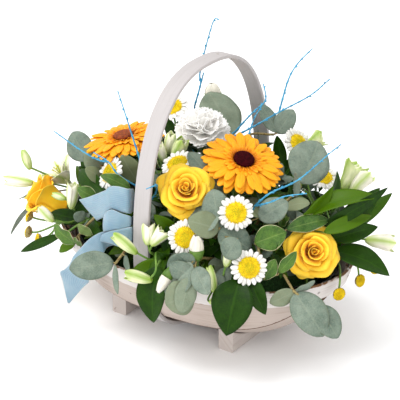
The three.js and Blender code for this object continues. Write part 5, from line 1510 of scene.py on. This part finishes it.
def makeDaisy(head, seed):
    ray = rayPetal(daisy["radius"] - 7.4, 4.2, columns=5, rows=9, droop=0.05, ridge=0.07, shoulder=0.55,
                   tip=0.35)
    white, yellow, green = finish["daisyPetal"], finish["daisyDisc"], finish["sepalLeaf"]
    meshes = [
        ringOf(ray, white, daisy["rays"], 7.6, -0.2, 0.1, 0.14, 0.08, 0.05, 0.5, seed),
        ringOf(ray, white, daisy["rays"] - 5, 7.4, -1.0, 0.02, 0.12, 0.08, 0.1, 0.0, seed + 1),
        discOf(floret(0.62, 1.1), yellow, finish["daisyDiscHeart"], daisy["florets"], daisy["disc"], 2.6, 0.7,
               1.15, 0.8, 0.42, seed),
        turnedMesh("pad", daisy["pad"], yellow),
        turnedMesh("cup", daisy["cup"], green),
    ]
    return [poseMesh(mesh, flowerPose(head["at"], head["face"], seed * 31)) for mesh in meshes]


def makeButton(head, seed):
    yellow, green = finish["daisyDisc"], finish["woodyStem"]
    meshes = [
        discOf(floret(0.6, 1.0), yellow, yellow, 70, 6.0, 2.6, 0.8, 1.05, 0.9, 0.2, seed),
        turnedMesh("pad", button["pad"], yellow),
        turnedMesh("cup", button["cup"], green),
    ]
    return [poseMesh(mesh, flowerPose(head["at"], head["face"])) for mesh in meshes]


def makeSantini(name, spray, seed):
    make, slot = (makeDaisy, "santini_petal") if "daisies" in spray else (makeButton, "button_head")
    runs = [(smoothPath(plantedPath(name, [spray["fork"]])), 1.5)]
    meshes = []
    for index, head in enumerate(spray.get("daisies", []) + spray.get("buttons", [])):
        axis = unit(head["face"])
        neck = np.asarray(head["at"], float) - axis * 1.5
        below = (neck - axis * 6) * 0.8 + np.asarray(spray["fork"]) * 0.2
        places = head.get("bends", [below]) + [neck]
        runs.append((smoothPath([nearestOn(runs[:1], places[0])] + places), 1.0))
        meshes += make(head, seed + index * 3)
    meshes.append(tubes("stems", runs, finish["greenStem"], 8))
    settle(joinMeshes(name, meshes), name + "Heads", [name], slot)


for index, (name, spray) in enumerate(santinis.items()):
    makeSantini(name, spray, 3 + index * 10)
print("santini made")

alstroemerias = {
    "alstroemeriaLeft": {
        "path": [[-104, -48, 104], [-120, -30, 108]], "radius": 5.4, "spread": [0.05, 0.35, 0.5, 0.15, 0.3],
        "buds": [[[-178, -58, 133], [-189, -56, 152], [[-150, -28, 112], [-168, -43, 124]]],
            [[-179, -52, 115], [-213, -60, 113], [[-150, -28, 108], [-170, -38, 112]]],
            [[-102, -86, 120], [-104, -78, 146], [[-100, -72, 108]]],
            [[-110, -84, 128], [-125, -88, 131], [[-100, -66, 112]]],
            [[-122, -90, 102], [-140, -92, 114], [[-112, -74, 98]]]],
        "open": {"at": [-151, -37, 123], "face": [-0.45, -0.4, 0.8]}},
    "alstroemeriaFront": {
        "path": [[16, -92, 106]], "radius": 5.6, "spread": [0.2, 0.7, 0.9, 0.3],
        "buds": [[[5, -119, 115], [-19, -127, 133]], [[13, -113, 124], [9, -106, 144]],
            [[17, -113, 125], [25, -101, 140]],
            [[31, -130, 99], [7, -143, 105], [[22, -112, 118], [35, -130, 111]]]]},
    "alstroemeriaCentre": {
        "path": [[84, -88, 104]], "radius": 4.8, "spread": [0.15, 0.6, 0.4],
        "buds": [[[88, -110, 95], [77, -104, 118]], [[84, -113, 84], [95, -102, 90]],
            [[92, -98, 118], [92, -87, 137]]]},
    "alstroemeriaRight": {
        "path": [[106, 44, 112]], "radius": 6.2, "spread": [1.0, 0.8, 0.7, 1.1],
        "buds": [[[121, 64, 143], [128, 82, 169]], [[131, 64, 142], [140, 82, 162]],
            [[156, 52, 103], [181, 69, 100]], [[77, 66, 178], [90, 78, 189]]]},
    "alstroemeriaMiddle": {
        "path": [[-24, -16, 110], [-28, -18, 156]], "radius": 8.0, "spread": [0.35, 0.3, 0.5],
        "buds": [[[-22, -22, 170], [-10, -20, 196]], [[-33, -16, 172], [-30, -14, 196]],
            [[-30, -26, 168], [-36, -30, 188]]]},
}
openFlower = {"petals": 6, "outerWidth": 10.4, "innerWidth": 6.8, "outerReach": 17, "innerReach": 11,
              "height": 22, "tube": [(0, -16), (1.6, -16), (3.4, -6), (4.4, 0), (0, 1)]}


def makeOpenFlower(head, random):
    shell = Shell()
    u, v = lanes(13, 9)
    for i in range(openFlower["petals"]):
        inner = i % 2
        kind = "inner" if inner else "outer"
        angle = i / openFlower["petals"] * fullTurn + random.uniform(-0.1, 0.1)
        out = np.array([math.cos(angle), math.sin(angle), 0])
        share = np.sin(np.pi * np.clip(0.06 + 0.9 * u, 0, 1)) ** (0.9 if inner else 0.7)
        half = openFlower[kind + "Width"] * share
        run = 3 + openFlower[kind + "Reach"] * u ** 1.8
        height = (-5 + 2 * inner + openFlower["height"] * u - 3.0 * u ** 3 + 0.1 * half * v ** 2
                  + 0.5 * np.sin(v * 4 + i) * u ** 3)
        surface = stacked(run, v * half, height) @ np.array([out, [-out[1], out[0], 0], [0, 0, 1.0]])
        shell.add(surface, 0.35, random.uniform(0, 1))
    pose = flowerPose(head["at"], head["face"])
    anthers = []
    for i in range(6):
        lean = np.array([math.cos(i * 1.05 + 0.4), math.sin(i * 1.05 + 0.4), 0])
        path = smoothPath([[0, 0, -2], lean * 1.6 + [0, 0, 8], lean * 4 + [0, 0, 15]], 4)
        anthers.append((path @ pose[0].T + pose[1], [0.35] * (len(path) - 1) + [0.9]))
    bloom = shell.mesh("open", [finish["alstroemeriaPetal"]], local=True)
    tube = turnedMesh("tube", openFlower["tube"], finish["limeBudPetal"])
    return [poseMesh(bloom, pose), poseMesh(tube, pose),
            tubes("anthers", anthers, finish["daisyDiscHeart"], 5)]


def makeAlstroemeria(name, spray, random):
    main = smoothPath(plantedPath(name, spray["path"]))
    runs = [(main, 1.4)]
    meshes = []
    for index, bud in enumerate(spray["buds"]):
        foot, tip = (np.asarray(p, float) for p in bud[:2])
        lead = (foot * 1.35 - tip * 0.35) * 0.75 + main[-1] * 0.25
        places = (bud[2] if len(bud) > 2 else [lead]) + [foot * 0.88 + tip * 0.12]
        path = smoothPath([nearestOn(runs[:1], places[0])] + places)
        runs.append((path, np.linspace(0.85, 1.1, len(path))))
        spreadTips = spray["spread"][index]
        slender = (0.23 + 0.09 * spreadTips) * np.linalg.norm(tip - foot)
        wide = min(spray["radius"] * (1 + 0.4 * spreadTips), slender)
        outside = finish["alstroemeriaPetal" if index % 3 else "limeBudPetal"]
        meshes += [budPetals(foot, tip, wide, outside, random, 0.25, spreadTips),
                   budPetals(foot, foot + (tip - foot) * 0.96, wide * 0.8, finish["alstroemeriaPetal"],
                             random, 0.5, spreadTips * 0.6)]
    if "open" in spray:
        head = spray["open"]
        neck = np.asarray(head["at"], float) - unit(head["face"]) * 13
        runs.append((smoothPath([nearestOn(runs[:1], neck), neck]), 1.1))
        meshes += makeOpenFlower(head, random)
    meshes.append(tubes("stalks", runs, finish["greenStem"]))
    settle(joinMeshes(name, meshes), name + "Flowers", inCad(name), "alstroemeria_petal")


draws = np.random.default_rng(43)
for name, spray in alstroemerias.items():
    makeAlstroemeria(name, spray, draws)
print("alstroemeria made")

twigs = {
    "twigsLeft": {
        "path": [[-24, -60, 140], [-34, -62, 184]],
        "forks": [[[-34, -62, 184], [-52, -56, 216], [-68, -50, 242]],
            [[-26, -60, 150], [-45, -80, 169], [-61, -76, 178], [-86, -68, 179]],
            [[-61, -76, 178], [-84, -62, 169], [-116, -50, 167], [-159, -40, 174]],
            [[-24, -60, 140], [-4, -78, 158], [8, -90, 176], [15, -103, 183], [9, -109, 180]]]},
    "twigsBack": {
        "path": [[-50, 52, 150], [-53, 58, 194]],
        "forks": [[[-53, 58, 194], [-47, 60, 219], [-48, 60, 229], [-44, 62, 252], [-34, 64, 288],
            [-28, 65, 290]],
            [[-47, 60, 219], [-43, 60, 232]]]},
    "twigsRight": {
        "path": [[14, 20, 150], [18, 20, 190], [20, 24, 195]],
        "forks": [[[18, 20, 190], [34, 30, 200], [54, 50, 215], [78, 68, 232], [93, 80, 249]],
            [[54, 50, 215], [58, 60, 247], [65, 66, 264], [76, 74, 279]],
            [[20, 24, 195], [35, 31, 216], [42, 44, 227], [34, 52, 240]],
            [[16, 20, 180], [36, 20, 194], [32, 40, 207], [38, 52, 225]]]},
    "twigsFront": {
        "path": [[72, -34, 128], [91, -48, 161]],
        "forks": [[[91, -48, 161], [109, -50, 180], [125, -26, 189], [136, 8, 205], [145, 16, 215]],
            [[91, -48, 161], [113, -56, 174], [124, -48, 180], [143, -40, 185]]]},
}
twigBark = {"step": 1.2, "knotSpacing": 9.0, "stem": 1.25, "fork": 0.95, "budFrom": 7, "budEvery": 8}


def knobby(path, radius):
    reach = walked(path)[-1]
    fine = np.linspace(0, reach, max(8, int(reach / twigBark["step"])))
    beat = (fine / twigBark["knotSpacing"]) % 1.0
    thick = radius * (1 - 0.45 * fine / reach) * (1 + 0.5 * np.exp(-((beat - 0.5) / 0.1) ** 2))
    return resampled(path, fine), thick


def makeTwigs(name, twig, random):
    runs = [knobby(smoothPath(plantedPath(name, twig["path"])), twigBark["stem"])]
    buds = []
    for fork in twig["forks"]:
        runs.append(knobby(smoothPath([nearestOn(runs, fork[0])] + fork[1:], 5), twigBark["fork"]))
        line = runs[-1][0]
        for k in range(twigBark["budFrom"], len(line) - 2, twigBark["budEvery"]):
            heading = unit(line[k + 1] - line[k])
            bud = unit(heading * 1.3 + unit(np.cross(heading, random.normal(size=3))))
            buds.append(([line[k], line[k] + bud * 1.6, line[k] + bud * 3.2], [0.5, 0.75, 0.15]))
    settle(tubes(name, runs + buds, finish["paintedTwig"], 6), name + "Painted", [name], "painted_twig")


draws = np.random.default_rng(57)
for name, twig in twigs.items():
    makeTwigs(name, twig, draws)
print("twigs made")

stage = {"target": [19.37, -35.66, 143.24], "stand": [881.1, -1264.7, 850.6], "lens": 153.2,
         "sunHeading": (0.24, 0.3, -0.92), "sunPower": 1.9, "sunSpread": 34, "lightTarget": (0, 0, 0.12)}
# The place, size and power of each
softBoxes = {"fillLight": ((1.9, -1.4, 1.5), 1.6, 13), "frontLight": ((-0.8, -2.0, 0.8), 1.3, 10)}


def inScene(name, data, place=(0, 0, 0), heading=None):
    one = bpy.data.objects.new(name, data)
    one.location = Vector(place)
    if heading is not None:
        one.rotation_mode = "QUATERNION"
        one.rotation_quaternion = Vector(heading).to_track_quat("-Z", "Y")
    bpy.context.scene.collection.objects.link(one)
    return one


def makeStage():
    target, stand = Vector(inFrame(stage["target"])), Vector(inFrame(stage["stand"]))
    camera = inScene("camera", bpy.data.cameras.new("camera"), stand, target - stand)
    camera.data.lens, camera.data.sensor_width = stage["lens"], 36.0
    camera.data.clip_start, camera.data.clip_end = 0.05, 50.0
    bpy.context.scene.camera = camera

    floorMesh = bpy.data.meshes.new("floor")
    floorMesh.from_pydata([(-9, -9, 0), (9, -9, 0), (9, 9, 0), (-9, 9, 0)], [], [(0, 1, 2, 3)])
    material, tree, shader = startMaterial("paleFloor", roughness=0.9, gloss=0.1)
    cloud = noiseOf(feed(tree, "Place"), 3.0, 2.0)
    connect(shader, {"Base Color": mixColor(cloud, (0.93, 0.93, 0.935, 1), (0.96, 0.96, 0.962, 1))})
    floorMesh.materials.append(material)
    floor = inScene("floor", floorMesh)

    world = bpy.data.worlds.new("studio")
    world.use_nodes = True
    background = world.node_tree.nodes["Background"]
    background.inputs["Color"].default_value = (1.0, 1.0, 1.0, 1)
    seen = wire(world.node_tree, "ShaderNodeLightPath", out="Is Camera Ray")
    # The backdrop is whiter than its light
    connect(background, {"Strength": spread(seen, 0.0, 1.0, 0.98, 1.0)})
    bpy.context.scene.world = world

    sun = inScene("keyLight", bpy.data.lights.new("keyLight", "SUN"), heading=stage["sunHeading"])
    sun.data.energy, sun.data.angle = stage["sunPower"], math.radians(stage["sunSpread"])
    for name, (place, size, power) in softBoxes.items():
        lamp = bpy.data.lights.new(name, "AREA")
        lamp.shape, lamp.size, lamp.energy = "SQUARE", size, power
        inScene(name, lamp, place, Vector(stage["lightTarget"]) - Vector(place))
    bpy.context.scene.view_settings.view_transform = "Standard"
    bpy.context.scene.view_settings.look = "None"


makeStage()
print("stage made")
